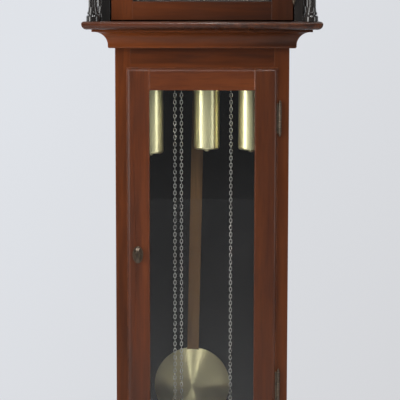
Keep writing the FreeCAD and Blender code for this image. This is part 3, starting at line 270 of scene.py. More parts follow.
def handling_group():
    """Soft smears, and dust on what faces up, that vary the gloss of a finish."""
    tree, given, result = new_group("handling", [("Size", "Float", 14.0), ("Specks", "Float", 420.0)],
                                    [("Smears", "Float"), ("Dust", "Float")])
    place = tree.nodes.new("ShaderNodeTexCoord")
    smear = noise(tree, (place, "Object"), (given, "Size"), 4.0, 0.5, 0.7)
    speck = noise(tree, (place, "Object"), (given, "Specks"), 2.0, 0.7)
    surface = tree.nodes.new("ShaderNodeNewGeometry")
    split = split_axes(tree, (surface, "Normal"))
    up = maths(tree, "MULTIPLY", (split, "Z"), 0.8, clamp=True)
    grit = ramp(tree, speck, [(0.45, 0.25), (0.7, 1.0)])
    give(tree, result, Smears=smear, Dust=maths(tree, "MULTIPLY", up, grit, clamp=True))
    return tree


SCRATCH_SCALE = 900.0
CRAZE_SCALE = 70.0
CRAZE_LINE = [(0.0, 0.35), (0.02, 0.0)]


def scratch_group():
    """Fine scratches of the metals and turned rings of the bob, drawn out along X, Y and Z."""
    inputs = [("Place", "Vector", None), ("Stretch", "Vector", (1, 1, 1)), ("Detail", "Float", 3.0)]
    tree, given, result = new_group("fine_scratches", inputs, [("Height", "Float")])
    drawn = vector_maths(tree, "MULTIPLY", (given, "Place"), (given, "Stretch"))
    give(tree, result, Height=noise(tree, drawn, SCRATCH_SCALE, (given, "Detail"), 0.7))
    return tree


def craze_group():
    """Hairline craze of the dial's paints: how far a place is from a crack, and the cracks alone."""
    tree, given, result = new_group("hairline_craze", [("Place", "Vector", None)],
                                    [("Distance", "Float"), ("Line", "Float")])
    cracks = shader_node(tree, "TexVoronoi", Vector=(given, "Place"), Scale=CRAZE_SCALE)
    cracks.feature = "DISTANCE_TO_EDGE"
    give(tree, result, Distance=(cracks, "Distance"), Line=ramp(tree, (cracks, "Distance"), CRAZE_LINE))
    return tree


grain = grain_group()
wear = wear_group()
handling = handling_group()
scratches = scratch_group()
crazing = craze_group()


# Materials

def start_material(name):
    """Material with its tree, its shader and its object coordinates."""
    material = bpy.data.materials.new(name)
    material.use_nodes = True
    tree = material.node_tree
    place = tree.nodes.new("ShaderNodeTexCoord")
    return material, tree, tree.nodes["Principled BSDF"], (place, "Object")


def bump(tree, shader, height, strength, distance, soften=0.0):
    """Relief on the shader's normal, over softened edges if a radius is given."""
    made = shader_node(tree, "Bump", Strength=strength, Distance=distance, Height=height)
    if soften:
        give(tree, made, Normal=bevelled(tree, soften))
    give(tree, shader, Normal=(made, 0))
    return made, 0


PLANK_WIDTH = 118 * MM
SEAM_WIDTH = 0.9 * MM
SEAM_COLOUR = (0.012, 0.008, 0.006)
PINE = ((0.11, 0.062, 0.032), (0.22, 0.135, 0.072))


def bare_back(tree, place, wood, colour, start):
    """Unvarnished pine planks on the side of a board that faces the wall."""
    split = split_axes(tree, place)
    planks = maths(tree, "MULTIPLY", (split, "X"), 1 / PLANK_WIDTH)
    planks = maths(tree, "FRACT", planks)
    planks = maths(tree, "SUBTRACT", planks, 0.5)
    planks = maths(tree, "ABSOLUTE", planks)
    seams = maths(tree, "GREATER_THAN", planks, 0.5 - SEAM_WIDTH / PLANK_WIDTH)
    pine = ramp(tree, (wood, "Figure"), [(0.34, PINE[0]), (0.66, PINE[1])])
    pine = blend_colour(tree, seams, pine, SEAM_COLOUR)
    outside = maths(tree, "GREATER_THAN", (split, "Y"), start)
    return blend_colour(tree, outside, colour, pine)


PORE_DEPTH = 0.3
WOOD_EDGE = 2.2 * MM
RUBBED_AND_HIGHLIGHT_GAIN = 2.4
RUBBED_AND_HIGHLIGHT_LIFT = 0.01
DUST_COLOUR = (0.25, 0.21, 0.17)
WOOD_RELIEF = 0.4 * MM
GRAIN_STRENGTH = 0.05
WOOD_SMEARS = 0.22
WOOD_SMEARS_BELOW = 0.1


def varnished_wood(name, dark, mid, light, rail_half=0.0, gloss=0.34, coat=0.12, fineness=1.0, wear_and_highlight=0.3,
                   soften=1.2 * MM, dust=0.12, right_painted_shade=1.0, painted_light_fade=0.0, mitre=NO_MITRE, side_painted_shade=1.0,
                   behind=None):
    """Stained wood under varnish: figure, pores, paler rubbed edges that are also a painted highlight,
    painted shade by side and across, and a little dust on ledges.
    """
    material, tree, shader, place = start_material(name)
    wood = placed_group(tree, grain, Place=place, Rail_Half_Width=rail_half, Fineness=fineness,
                        Right_Tone=right_painted_shade, Fade=painted_light_fade, Mitre=mitre, Side_Tone=side_painted_shade)
    figure = ramp(tree, (wood, "Figure"), [(0.36, dark), (0.5, mid), (0.64, light)])
    open_pores = maths(tree, "SUBTRACT", 1.0, (wood, "Pores"))
    open_pores = maths(tree, "MULTIPLY", open_pores, PORE_DEPTH)
    board = blend_colour(tree, open_pores, figure, dark)
    # Painted shade: the colour is multiplied by the grain group's Tone.
    board = blend_colour(tree, 1.0, board, (wood, "Tone"), "MULTIPLY")
    # Edge wear and painted highlight: the edges are made much paler than the light tone, for rubbing and
    # for the light that catches them.
    edges = placed_group(tree, wear, Radius=WOOD_EDGE)
    amount = maths(tree, "MULTIPLY", (edges, "Mask"), wear_and_highlight)
    pale = tuple(min(1.0, c * RUBBED_AND_HIGHLIGHT_GAIN + RUBBED_AND_HIGHLIGHT_LIFT) for c in light)
    rubbed = blend_colour(tree, amount, board, pale)
    touched = placed_group(tree, handling)
    film = maths(tree, "MULTIPLY", (touched, "Dust"), dust)
    colour = blend_colour(tree, film, rubbed, DUST_COLOUR)
    if behind:
        colour = bare_back(tree, place, wood, colour, behind)
    rough = maths(tree, "MULTIPLY", (touched, "Smears"), WOOD_SMEARS)
    rough = maths(tree, "ADD", rough, gloss - WOOD_SMEARS_BELOW)
    rough = maths(tree, "ADD", rough, film, clamp=True)
    give(tree, shader, Base_Color=colour, Roughness=rough, Specular_IOR_Level=0.25, Coat_Weight=coat,
         Coat_Roughness=0.16, Coat_IOR=1.5)
    relief = bump(tree, shader, (wood, "Height"), GRAIN_STRENGTH, WOOD_RELIEF, soften)
    give(tree, shader, Coat_Normal=relief)
    return material


SCRATCH_RELIEF = 0.2 * MM
BRUSHED_STRENGTH = 0.06
POLISHED_STRENGTH = 0.02
METAL_SMEARS = 0.16
METAL_SMEARS_BELOW = 0.06
LEAST_ROUGHNESS = 0.02


def metal(name, colour, tarnish, rough, brushed=None, dark_amount=0.35, soften=0.5 * MM, size=24.0):
    """Metal with a thin uneven tarnish; brushed is the stretch of its scratches along X, Y and Z."""
    material, tree, shader, place = start_material(name)
    touched = placed_group(tree, handling, Size=size)
    patch = ramp(tree, (touched, "Smears"), [(0.35, 0.0), (0.75, 1.0)])
    amount = maths(tree, "MULTIPLY", patch, dark_amount)
    spread = maths(tree, "MULTIPLY", (touched, "Smears"), METAL_SMEARS)
    start = max(rough - METAL_SMEARS_BELOW, LEAST_ROUGHNESS)
    spread = maths(tree, "ADD", spread, start, clamp=True)
    give(tree, shader, Base_Color=blend_colour(tree, amount, colour, tarnish), Metallic=1.0,
         Roughness=spread)
    scratch = placed_group(tree, scratches, Place=place, Stretch=brushed or (1, 1, 1)), "Height"
    strength = BRUSHED_STRENGTH if brushed else POLISHED_STRENGTH
    bump(tree, shader, scratch, strength, SCRATCH_RELIEF, soften)
    return material


BOB_TILT = 1.2
BOB_DROP = 1039.5 * MM
BOB_BRIGHT = (0.95, 0.88, 0.56)
BOB_SHADE = (0.78, 0.68, 0.37)
BOB_DULL = (0.56, 0.47, 0.26)
BOB_ROUGHNESS = 0.33
BOB_SMEARS = 0.04


def spun_brass(name):
    """Spun brass of the bob: sheen drawn out across rings that are turned about its centre."""
    material, tree, shader, place = start_material(name)
    tilt = math.radians(BOB_TILT)
    centre = (-math.sin(tilt) * BOB_DROP, pivot[1], pivot[2] - math.cos(tilt) * BOB_DROP)
    offset = vector_maths(tree, "SUBTRACT", place, centre)
    flat = vector_maths(tree, "MULTIPLY", offset, (1, 0, 1))
    turned = shader_node(tree, "VectorTransform", Vector=flat)
    turned.vector_type = "VECTOR"
    turned.convert_from = "OBJECT"
    turned.convert_to = "WORLD"
    radius = vector_maths(tree, "LENGTH", flat, out="Value")
    rings = shader_node(tree, "CombineXYZ", X=radius)
    turning = placed_group(tree, scratches, Place=(rings, 0), Detail=4.0), "Height"
    touched = placed_group(tree, handling, Size=18.0)
    tone = ramp(tree, turning, [(0.3, BOB_SHADE), (0.7, BOB_BRIGHT)])
    spread = maths(tree, "MULTIPLY", (touched, "Smears"), BOB_SMEARS)
    give(tree, shader, Base_Color=blend_colour(tree, (touched, "Smears"), tone, BOB_DULL), Metallic=1.0,
         Anisotropic=1.0, Roughness=maths(tree, "ADD", spread, BOB_ROUGHNESS),
         Tangent=vector_maths(tree, "NORMALIZE", (turned, 0)))
    bump(tree, shader, turning, POLISHED_STRENGTH, SCRATCH_RELIEF)
    return material


GLASS_SMEARS = 0.03
SHADOW_TINT = (0.90, 0.92, 0.92, 1)


def clear_glass(name):
    """Old window glass: clear and with a light film of smears."""
    material, tree, shader, _ = start_material(name)
    touched = placed_group(tree, handling, Size=6.0)
    tint = ramp(tree, (touched, "Smears"), [(0.3, (0.93, 0.96, 0.95)), (0.8, (0.98, 0.99, 0.99))])
    give(tree, shader, Base_Color=tint, Transmission_Weight=1.0, IOR=1.45,
         Roughness=maths(tree, "MULTIPLY", (touched, "Smears"), GLASS_SMEARS))
    clear = shader_node(tree, "BsdfTransparent", Color=SHADOW_TINT)
    paths = tree.nodes.new("ShaderNodeLightPath")
    surface = mix_shaders(tree, (paths, "Is Shadow Ray"), (shader, 0), (clear, 0))
    give(tree, tree.nodes["Material Output"], Surface=surface)
    return material


CRAZE_STRENGTH = 0.02
CRAZE_RELIEF = 0.3 * MM
CRAZE_SHADE = 0.5
DIAL_EDGE = 0.4 * MM


def enamel(name, colour, shade, rough):
    """Paint, ink or silvering on the dial: faintly mottled, with a hairline craze."""
    material, tree, shader, place = start_material(name)
    touched = placed_group(tree, handling, Size=9.0)
    craze = placed_group(tree, crazing, Place=place)
    line = craze, "Line"
    mottled = ramp(tree, (touched, "Smears"), [(0.3, shade), (0.7, colour)])
    cracked = blend_colour(tree, line, mottled, tuple(c * CRAZE_SHADE for c in shade))
    give(tree, shader, Base_Color=cracked, Roughness=maths(tree, "ADD", line, rough))
    bump(tree, shader, (craze, "Distance"), CRAZE_STRENGTH, CRAZE_RELIEF, DIAL_EDGE)
    return material


BRONZE_RUBBED = (0.38, 0.28, 0.16)
BRONZE_SMEARS = 0.3
BRONZE_ROUGHNESS = 0.22
BRONZE_STRENGTH = 0.1
BRONZE_RELIEF = 0.4 * MM
BRONZE_EDGE = 0.5 * MM


def bronze_patina(name):
    """Dark bronze of the hinges and thumb turn, brighter where it is rubbed."""
    material, tree, shader, _ = start_material(name)
    touched = placed_group(tree, handling, Size=90.0)
    base = ramp(tree, (touched, "Smears"), [(0.3, (0.08, 0.062, 0.048)), (0.75, (0.15, 0.115, 0.085))])
    edges = placed_group(tree, wear, Radius=1.2 * MM, Breakup=180.0)
    rubbed = blend_colour(tree, (edges, "Mask"), base, BRONZE_RUBBED)
    rough = maths(tree, "MULTIPLY", (touched, "Smears"), BRONZE_SMEARS)
    rough = maths(tree, "ADD", rough, BRONZE_ROUGHNESS)
    give(tree, shader, Base_Color=rubbed, Metallic=0.9, Roughness=rough)
    bump(tree, shader, (touched, "Smears"), BRONZE_STRENGTH, BRONZE_RELIEF, BRONZE_EDGE)
    return material


# Finishes: each wood is its dark, middle and light tone

ORANGE = ((0.048, 0.0115, 0.0024), (0.100, 0.0225, 0.0035), (0.140, 0.0335, 0.0050))
BROWN = ((0.039, 0.0120, 0.0052), (0.092, 0.0218, 0.0060), (0.155, 0.0380, 0.0075))
HOOD = ((0.034, 0.0085, 0.0020), (0.072, 0.0165, 0.0028), (0.100, 0.0245, 0.0040))
# The cove's tones are a brighter copy of the mahogany: painted light on the cove.
COVE_PAINTED_LIGHT = ((0.085, 0.0210, 0.0044), (0.175, 0.0400, 0.0062), (0.240, 0.0580, 0.0090))
# Near-black inside tones: painted shade inside the case, not the pine's own colour.
INSIDE_PAINTED_SHADE = ((0.010, 0.0085, 0.0085), (0.013, 0.0105, 0.0105), (0.017, 0.0135, 0.0125))
BLACK = ((0.006, 0.005, 0.0045), (0.010, 0.008, 0.007), (0.018, 0.014, 0.012))
STICK = ((0.072, 0.032, 0.008), (0.118, 0.056, 0.015), (0.17, 0.086, 0.026))
MASK = ((0.012, 0.010, 0.009), (0.018, 0.015, 0.014), (0.026, 0.022, 0.020))
ALL_RAIL = 600 * MM
DOOR_RAIL = 110 * MM
FRAME_RAIL = 150 * MM
HOOD_RAIL = 143 * MM
BASE_RAIL = 171.5 * MM
BACK_SKIN = 1.5 * MM

# The values below for the right side, the fade and the returned sides are painted shade.
mahogany = varnished_wood("mahogany", *ORANGE)
mahogany_door = varnished_wood("mahogany_door", *BROWN, rail_half=DOOR_RAIL, coat=0.35, wear_and_highlight=0.8,
                               right_painted_shade=0.65, painted_light_fade=0.1, soften=4 * MM)
mahogany_frame = varnished_wood("mahogany_frame", *ORANGE, rail_half=FRAME_RAIL, right_painted_shade=0.95,
                                painted_light_fade=0.25)
mahogany_hood = varnished_wood("mahogany_hood_door", *HOOD, rail_half=HOOD_RAIL, coat=0.15, painted_light_fade=0.55)
mahogany_base = varnished_wood("mahogany_base", *ORANGE, rail_half=BASE_RAIL)
mahogany_mould = varnished_wood("mahogany_moulding", *BROWN, rail_half=ALL_RAIL, wear_and_highlight=0.6, coat=0.15)
mahogany_cove = varnished_wood("mahogany_cove", *COVE_PAINTED_LIGHT, rail_half=ALL_RAIL, wear_and_highlight=0.6, coat=0.1, painted_light_fade=0.6,
                               soften=2 * MM, mitre=face_high[0] + trunk_face_y, side_painted_shade=0.55)
mahogany_shelf = varnished_wood("mahogany_shelf", *BROWN, rail_half=ALL_RAIL, wear_and_highlight=0.8, coat=0.4,
                                gloss=0.28, painted_light_fade=0.3, soften=2 * MM)
# The inside boards and the front of the backboard take the painted shade inside the case.
inside_wood_painted_shade = varnished_wood("back_pine", *INSIDE_PAINTED_SHADE, coat=0.0, gloss=0.7, wear_and_highlight=0.1, dust=0.03)
back_wood_painted_shade = varnished_wood("back_planks_painted_shade", *INSIDE_PAINTED_SHADE, coat=0.0, gloss=0.7, wear_and_highlight=0.1, dust=0.03,
                           behind=back_face_y - BACK_SKIN)
ebonised = varnished_wood("black_lacquer", *BLACK, gloss=0.16, coat=0.8, wear_and_highlight=0.18)
stick_wood = varnished_wood("stick_wood", *STICK, gloss=0.45, coat=0.0, fineness=2.2, wear_and_highlight=0.25)
mask_paint = varnished_wood("mask_black", *MASK, gloss=0.5, coat=0.0, wear_and_highlight=0.1)
glass = clear_glass("glass")
bronze = bronze_patina("bronze")
brass = metal("brass", (0.70, 0.48, 0.17), (0.38, 0.22, 0.07), 0.2)
gilt = metal("gilt", (0.80, 0.56, 0.22), (0.52, 0.33, 0.11), 0.34)
plate_brass = metal("plate_brass", (0.62, 0.44, 0.19), (0.36, 0.23, 0.09), 0.3, brushed=(1, 1, 0.03))
weight_brass = metal("weight_brass", (0.95, 0.87, 0.52), (0.88, 0.77, 0.41), 0.37, dark_amount=0.15,
                     size=9.0)
bob_brass = spun_brass("bob_brass")
steel = metal("steel", (0.52, 0.52, 0.54), (0.22, 0.20, 0.19), 0.26)
chain_metal = metal("chain_steel", (0.86, 0.84, 0.79), (0.55, 0.51, 0.44), 0.26)
blued = metal("blued_steel", (0.020, 0.026, 0.075), (0.012, 0.012, 0.020), 0.2)
silvered = enamel("silvered_ring", (0.56, 0.56, 0.54), (0.44, 0.44, 0.41), 0.36)
dial_enamel = enamel("dial_paint", (0.76, 0.71, 0.57), (0.66, 0.59, 0.44), 0.3)
ink = enamel("dial_ink", (0.014, 0.013, 0.015), (0.022, 0.020, 0.022), 0.35)

FINISHES = {
    mahogany_door: ["trunk_door_frame", "trunk_door_glass_beads"],
    mahogany_frame: ["trunk_face_frame"],
    mahogany_hood: ["hood_door_frame"],
    mahogany_base: ["base_face_frame"],
    mahogany_mould: ["base_moulding", "plinth", "hood_frieze", "hood_top_boards", "pediment",
                     "hood_cornice"],
    mahogany_cove: ["waist_cove"],
    mahogany_shelf: ["waist_shelf"],
    mahogany: ["trunk_sides", "base_sides", "base_panel", "hood_sides"],
    inside_wood_painted_shade: ["base_floor", "seat_board"],
    back_wood_painted_shade: ["backboard"],
    ebonised: ["hood_columns", "hood_posts"],
    mask_paint: ["dial_mask"],
    glass: ["trunk_door_glass", "hood_door_glass"],
    bronze: ["trunk_door_escutcheon", "trunk_door_knob", "trunk_door_hinge_leaves",
             "hood_door_hinge_leaves", "case_hinge_leaves"],
    brass: ["hood_finials", "pediment_rosettes", "hood_door_knob", "tail_ring_left",
            "tail_ring_centre", "tail_ring_right"],
    plate_brass: ["movement_frame", "centre_arbor", "third_wheel", "escape_wheel", "minute_wheel",
                  "hour_wheel", "strike_sprocket", "time_sprocket", "chime_sprocket"],
    weight_brass: ["weight_left", "weight_centre", "weight_right"],
    bob_brass: ["pendulum_bob"],
    stick_wood: ["pendulum_stick"],
    steel: ["anchor", "chime_rods", "chime_hammers"],
    chain_metal: ["chain_left", "chain_centre", "chain_right"],
    blued: ["hour_hand", "minute_hand"],
    silvered: ["chapter_ring"],
    dial_enamel: ["dial_plate"],
}
for finish, names in FINISHES.items():
    for name in names:
        mesh = nodes[name].data
        if not mesh.materials:
            mesh.materials.append(finish)
        nodes[name].material_slots[0].link = "OBJECT"
        nodes[name].material_slots[0].material = finish


EASED = {"trunk_door_frame": 3.2 * MM, "waist_shelf": 1.6 * MM,
         "trunk_face_frame": 0.8 * MM, "base_face_frame": 0.8 * MM}
WELD_REACH = 0.005 * MM
SHARP_ANGLE = 50
EASE_STEPS = 3


def ease_edges():
    """Rounds the sharp edges that a plane and sandpaper would ease."""
    for name, width in EASED.items():
        weld = nodes[name].modifiers.new("weld", "WELD")
        weld.merge_threshold = WELD_REACH
        bevel = nodes[name].modifiers.new("ease", "BEVEL")
        bevel.width = width
        bevel.segments = EASE_STEPS
        bevel.limit_method = "ANGLE"
        bevel.angle_limit = math.radians(SHARP_ANGLE)
        bevel.use_clamp_overlap = True


ease_edges()


# Pieces made here

def mesh_piece(name, points, faces, finish, body, smooth=True):
    """New piece from points and faces, with its finish, on a body."""
    mesh = bpy.data.meshes.new(name)
    mesh.from_pydata([tuple(p) for p in points], [], faces)
    mesh.update()
    mesh.materials.append(finish)
    if smooth:
        mesh.shade_smooth()
    piece = bpy.data.objects.new(name, mesh)
    bpy.context.scene.collection.objects.link(piece)
    if body:
        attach(piece, body)
    return piece


LINK_PITCH = 7.5 * MM
LINK_WIRE = 0.8 * MM
LINK_THICK = 0.42 * MM
LINK_HALF_WIDTH = 2.6 * MM
LINK_SLANT = 6
LINK_STEPS = 16
WIRE_SIDES = 6


def link_mesh(points, faces, centre, along, across, third):
    """One oval link of flattened wire, added to the lists."""
    first = len(points)
    reach = LINK_PITCH / 2 - LINK_HALF_WIDTH + LINK_WIRE
    for step in range(LINK_STEPS):
        angle = TURN * step / LINK_STEPS
        shift = reach if math.sin(angle) > 0 else -reach
        spine = centre + across * (LINK_HALF_WIDTH * math.cos(angle)) + along * (
            LINK_HALF_WIDTH * math.sin(angle) + shift)
        out = across * math.cos(angle) + along * math.sin(angle)
        for side in range(WIRE_SIDES):
            turn = TURN * side / WIRE_SIDES
            wide = out * (LINK_WIRE * math.cos(turn))
            points.append(spine + wide + third * (LINK_THICK * math.sin(turn)))
    for step in range(LINK_STEPS):
        here = first + step * WIRE_SIDES
        there = first + (step + 1) % LINK_STEPS * WIRE_SIDES
        for side in range(WIRE_SIDES):
            after = (side + 1) % WIRE_SIDES
            faces.append((here + side, here + after, there + after, there + side))


def lay_link(points, faces, centre, along, number):
    """A link along a direction, flat to the front or edge-on by turns."""
    side = along.cross(Vector((0, 1, 0))).normalized()
    back = along.cross(side).normalized()
    slant = math.radians(LINK_SLANT if number % 2 else LINK_SLANT - 90)
    across = side * math.cos(slant) + back * math.sin(slant)
    link_mesh(points, faces, centre, along, across, along.cross(across).normalized())


def hanging_links(top, bottom, x, y):
    """Points and faces of links hanging in line, each turned a quarter from the one above."""
    points, faces = [], []
    count = max(1, round((top - bottom) / LINK_PITCH))
    for link in range(count):
        z = top - (link + 0.5) * (top - bottom) / count
        lay_link(points, faces, Vector((x, y, z)), Vector((0, 0, 1)), link)
    return points, faces


def wrapped_links(wheel, radius):
    """Points and faces of the links that lie over the upper half of a wheel."""
    points, faces = [], []
    count = round(math.pi * radius / LINK_PITCH)
    for link in range(count):
        angle = math.pi * (link + 0.5) / count
        centre = Vector((wheel[0] + radius * math.cos(angle), wheel[1],
                         wheel[2] + radius * math.sin(angle)))
        lay_link(points, faces, centre, Vector((-math.sin(angle), 0, math.cos(angle))), link)
    return points, faces


def build_chain(side, train):
    """Links of one chain: the run to its weight, the wrap over its wheel and the free tail."""
    weight_low, weight_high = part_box("weight_" + side)
    wheel = joint(train + "_sprocket_turn")["pos_m"]
    ring_low, ring_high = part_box("tail_ring_" + side)
    weight_x = (weight_low[0] + weight_high[0]) / 2
    tail_x = (ring_low[0] + ring_high[0]) / 2
    y = wheel[1]
    points, faces = hanging_links(wheel[2], weight_high[2], weight_x, y)
    run = mesh_piece("chain_run_" + side, points, faces, chain_metal, None)
    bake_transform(run)
    points, faces = hanging_links(wheel[2], ring_high[2], tail_x, y)
    tail = mesh_piece("chain_tail_" + side, points, faces, chain_metal, None)
    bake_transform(tail)
    points, faces = wrapped_links(wheel, abs(weight_x - wheel[0]))
    mesh_piece("chain_wrap_" + side, points, faces, chain_metal, "case")
    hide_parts("chain_" + side)


for side, train in (("left", "strike"), ("centre", "time"), ("right", "chime")):
    build_chain(side, train)


# Figures of the dial

FIGURES = ["XII", "I", "II", "III", "IIII", "V", "VI", "VII", "VIII", "IX", "X", "XI"]
RAISED = 0.25 * MM
SERIF_RAISED_SHARE = 0.9
LINE_RAISED_SHARE = 0.8
THICK = 3.4 * MM
THIN = 1.1 * MM
SPREAD = 4.2 * MM
GLYPHS = {"I": (7 * MM, [(0, 0, THICK)]),
          "V": (13 * MM, [(-SPREAD, 0, THICK), (SPREAD, 0, THIN)]),
          "X": (13 * MM, [(-SPREAD, SPREAD, THICK), (SPREAD, -SPREAD, THIN)])}
SERIF_SHARE = 0.46
POINTED_SERIF_SHARE = 0.2
ring_face_y = chapter_low[1]
ring_radius = (chapter_high[0] - chapter_low[0]) / 2
FIGURE_HEIGHT = 24 * MM
FIGURE_RADIUS = ring_radius - 25 * MM
TRACK_OUTER = ring_radius - 3 * MM
TRACK_INNER = ring_radius - 8.5 * MM
INNER_CIRCLE = ring_radius - 41 * MM
CIRCLE_LINE = 0.5 * MM
CIRCLE_STEPS = 180
MINUTE_TICK = 0.6 * MM
FIVE_MINUTE_TICK = 2.2 * MM
MINUTES = 60


def flat_bar(points, faces, ends, width, y, depth):
    """Thin raised bar between two places on the dial."""
    (x0, z0), (x1, z1) = ends
    length = math.hypot(x1 - x0, z1 - z0)
    nx = -(z1 - z0) / length * width / 2
    nz = (x1 - x0) / length * width / 2
    first = len(points)
    for level in (y, y - depth):
        for x, z in ((x0 + nx, z0 + nz), (x1 + nx, z1 + nz), (x1 - nx, z1 - nz), (x0 - nx, z0 - nz)):
            points.append((x, level, z))
    quads = [(4, 7, 6, 5), (0, 4, 5, 1), (1, 5, 6, 2), (2, 6, 7, 3), (3, 7, 4, 0), (0, 1, 2, 3)]
    faces.extend(tuple(first + corner for corner in quad) for quad in quads)


def place_on_ring(angle, radius, u=0, v=0):
    """Point on the dial: u across and v outwards, at a clockwise angle from twelve."""
    ox = math.sin(angle)
    oz = math.cos(angle)
    return dial_x + ox * (radius + v) + oz * u, dial_z + oz * (radius + v) - ox * u


def build_figures():
    """Roman figures, with serifs, that stand with their feet to the centre."""
    points, faces = [], []
    low, high = -FIGURE_HEIGHT / 2, FIGURE_HEIGHT / 2
    for hour, word in enumerate(FIGURES):
        angle = TURN * hour / len(FIGURES)
        widths = [GLYPHS[letter][0] for letter in word]
        u = -sum(widths) / 2
        for letter, width in zip(word, widths):
            mid = u + width / 2
            for foot, top, stroke in GLYPHS[letter][1]:
                if letter == "V":
                    foot, top = 0, foot
                ends = (place_on_ring(angle, FIGURE_RADIUS, mid + foot, low),
                        place_on_ring(angle, FIGURE_RADIUS, mid + top, high))
                flat_bar(points, faces, ends, stroke, ring_face_y, RAISED)
            for v in (low, high):
                half = width * (POINTED_SERIF_SHARE if letter == "V" and v < 0 else SERIF_SHARE)
                ends = (place_on_ring(angle, FIGURE_RADIUS, mid - half, v),
                        place_on_ring(angle, FIGURE_RADIUS, mid + half, v))
                flat_bar(points, faces, ends, THIN, ring_face_y, RAISED * SERIF_RAISED_SHARE)
            u += width
    mesh_piece("hour_figures", points, faces, ink, "case", smooth=False)


def build_minute_track():
    """Three fine circles, with a tick at each minute and a wider one at each five."""
    points, faces = [], []
    for radius in (TRACK_OUTER, TRACK_INNER, INNER_CIRCLE):
        for step in range(CIRCLE_STEPS):
            ends = (place_on_ring(TURN * step / CIRCLE_STEPS, radius),
                    place_on_ring(TURN * (step + 1) / CIRCLE_STEPS, radius))
            flat_bar(points, faces, ends, CIRCLE_LINE, ring_face_y, RAISED * LINE_RAISED_SHARE)
    for minute in range(MINUTES):
        angle = TURN * minute / MINUTES
        ends = (place_on_ring(angle, TRACK_INNER), place_on_ring(angle, TRACK_OUTER))
        tick = MINUTE_TICK if minute % 5 else FIVE_MINUTE_TICK
        flat_bar(points, faces, ends, tick, ring_face_y, RAISED)
    mesh_piece("minute_track", points, faces, ink, "case", smooth=False)


build_figures()
build_minute_track()


# Ornament of the dial, pediment and escutcheon

DOME_RINGS = 4
DOME_SIDES = 16
SPANDREL_REACH = 70 * MM
SPANDREL_INSET = 5 * MM
SPANDREL_THICK = 1.4 * MM
SPANDREL_TAPER = 3 * MM
SPANDREL_TIP = 9 * MM
SPANDREL_STEPS = 12
SIDE_LOBE = 2.2 * MM
SIDE_LOBES = 3
RING_GAP = 3 * MM
RING_LOBE = 5 * MM
RING_LOBES = 5
BERRY_RISE = 2.2 * MM
BERRIES = ((22, 22, 8.5), (38, 13, 5), (13, 38, 5), (51, 9, 3.4), (9, 51, 3.4), (11, 11, 4.2))
BOSS_HEIGHT = 42 * MM
BOSS_RADIUS = 40 * MM
BOSS_RISE = 2.6 * MM
BEAD_COUNT = 32
BEAD_CIRCLE = 41 * MM
BEAD_RADIUS = 3.4 * MM
BEAD_RISE = 2.4 * MM
PETAL_COUNT = 8
PETAL_CIRCLE_SHARE = 0.66
PETAL_DEPTH_SHARE = 0.3
PETAL_RADIUS = 5.2 * MM
PETAL_RISE = 3.4 * MM
PIN_INSET = 3.5 * MM
PIN_RADIUS = 1.4 * MM
PIN_RISE = 0.7 * MM


def dome(points, faces, centre, radius, rise):
    """Low round dome that faces forwards, added to the lists."""
    first = len(points)
    cx, cy, cz = centre
    for ring in range(DOME_RINGS):
        angle = TURN / 4 * ring / DOME_RINGS
        for side in range(DOME_SIDES):
            turn = TURN * side / DOME_SIDES
            x = cx + radius * math.cos(angle) * math.cos(turn)
            z = cz + radius * math.cos(angle) * math.sin(turn)
            points.append((x, cy - rise * math.sin(angle), z))
    points.append((cx, cy - rise, cz))
    top = len(points) - 1
    for ring in range(DOME_RINGS):
        for side in range(DOME_SIDES):
            here = first + ring * DOME_SIDES + side
            after = first + ring * DOME_SIDES + (side + 1) % DOME_SIDES
            if ring == DOME_RINGS - 1:
                faces.append((here, after, top))
            else:
                faces.append((here, after, after + DOME_SIDES, here + DOME_SIDES))


def flat_cutout(points, faces, outline, y, depth):
    """Sawn plate with a given outline of x and z places, added to the lists."""
    first = len(points)
    count = len(outline)
    points.extend((x, y, z) for x, z in outline)
    points.extend((x, y - depth, z) for x, z in outline)
    faces.append(tuple(first + count + place for place in range(count)))
    for place in range(count):
        after = (place + 1) % count
        faces.append((first + place, first + after, first + count + after, first + count + place))


def spandrel(points, faces, way_x, way_z, y):
    """Cast leaf ornament for one corner of the square part of the dial."""
    half = (dial_high[0] - dial_low[0]) / 2 - SPANDREL_INSET
    side = []
    for step in range(SPANDREL_STEPS + 1):
        share = step / SPANDREL_STEPS
        lobe = SIDE_LOBE * abs(math.sin(SIDE_LOBES * math.pi * share))
        side.append((half - SPANDREL_REACH * share, half - lobe - SPANDREL_TAPER * share))
    outline = [(half, half)] + side
    start = math.atan2(half - SPANDREL_TIP, half - SPANDREL_REACH)
    steps = 2 * SPANDREL_STEPS
    for step in range(1, steps):
        angle = start + (TURN / 4 - 2 * start) * step / steps
        lobe = RING_LOBE * abs(math.cos(RING_LOBES * math.pi * step / steps))
        radius = ring_radius + RING_GAP + lobe
        outline.append((radius * math.cos(angle), radius * math.sin(angle)))
    outline += [(z, x) for x, z in reversed(side[1:])]
    placed = [(dial_x + way_x * x, dial_z + way_z * z) for x, z in outline]
    if way_x * way_z < 0:
        placed.reverse()
    flat_cutout(points, faces, placed, y, SPANDREL_THICK)
    for across, up, size in BERRIES:
        centre = (dial_x + way_x * (half - across * MM), y - SPANDREL_THICK,
                  dial_z + way_z * (half - up * MM))
        dome(points, faces, centre, size * MM, BERRY_RISE)


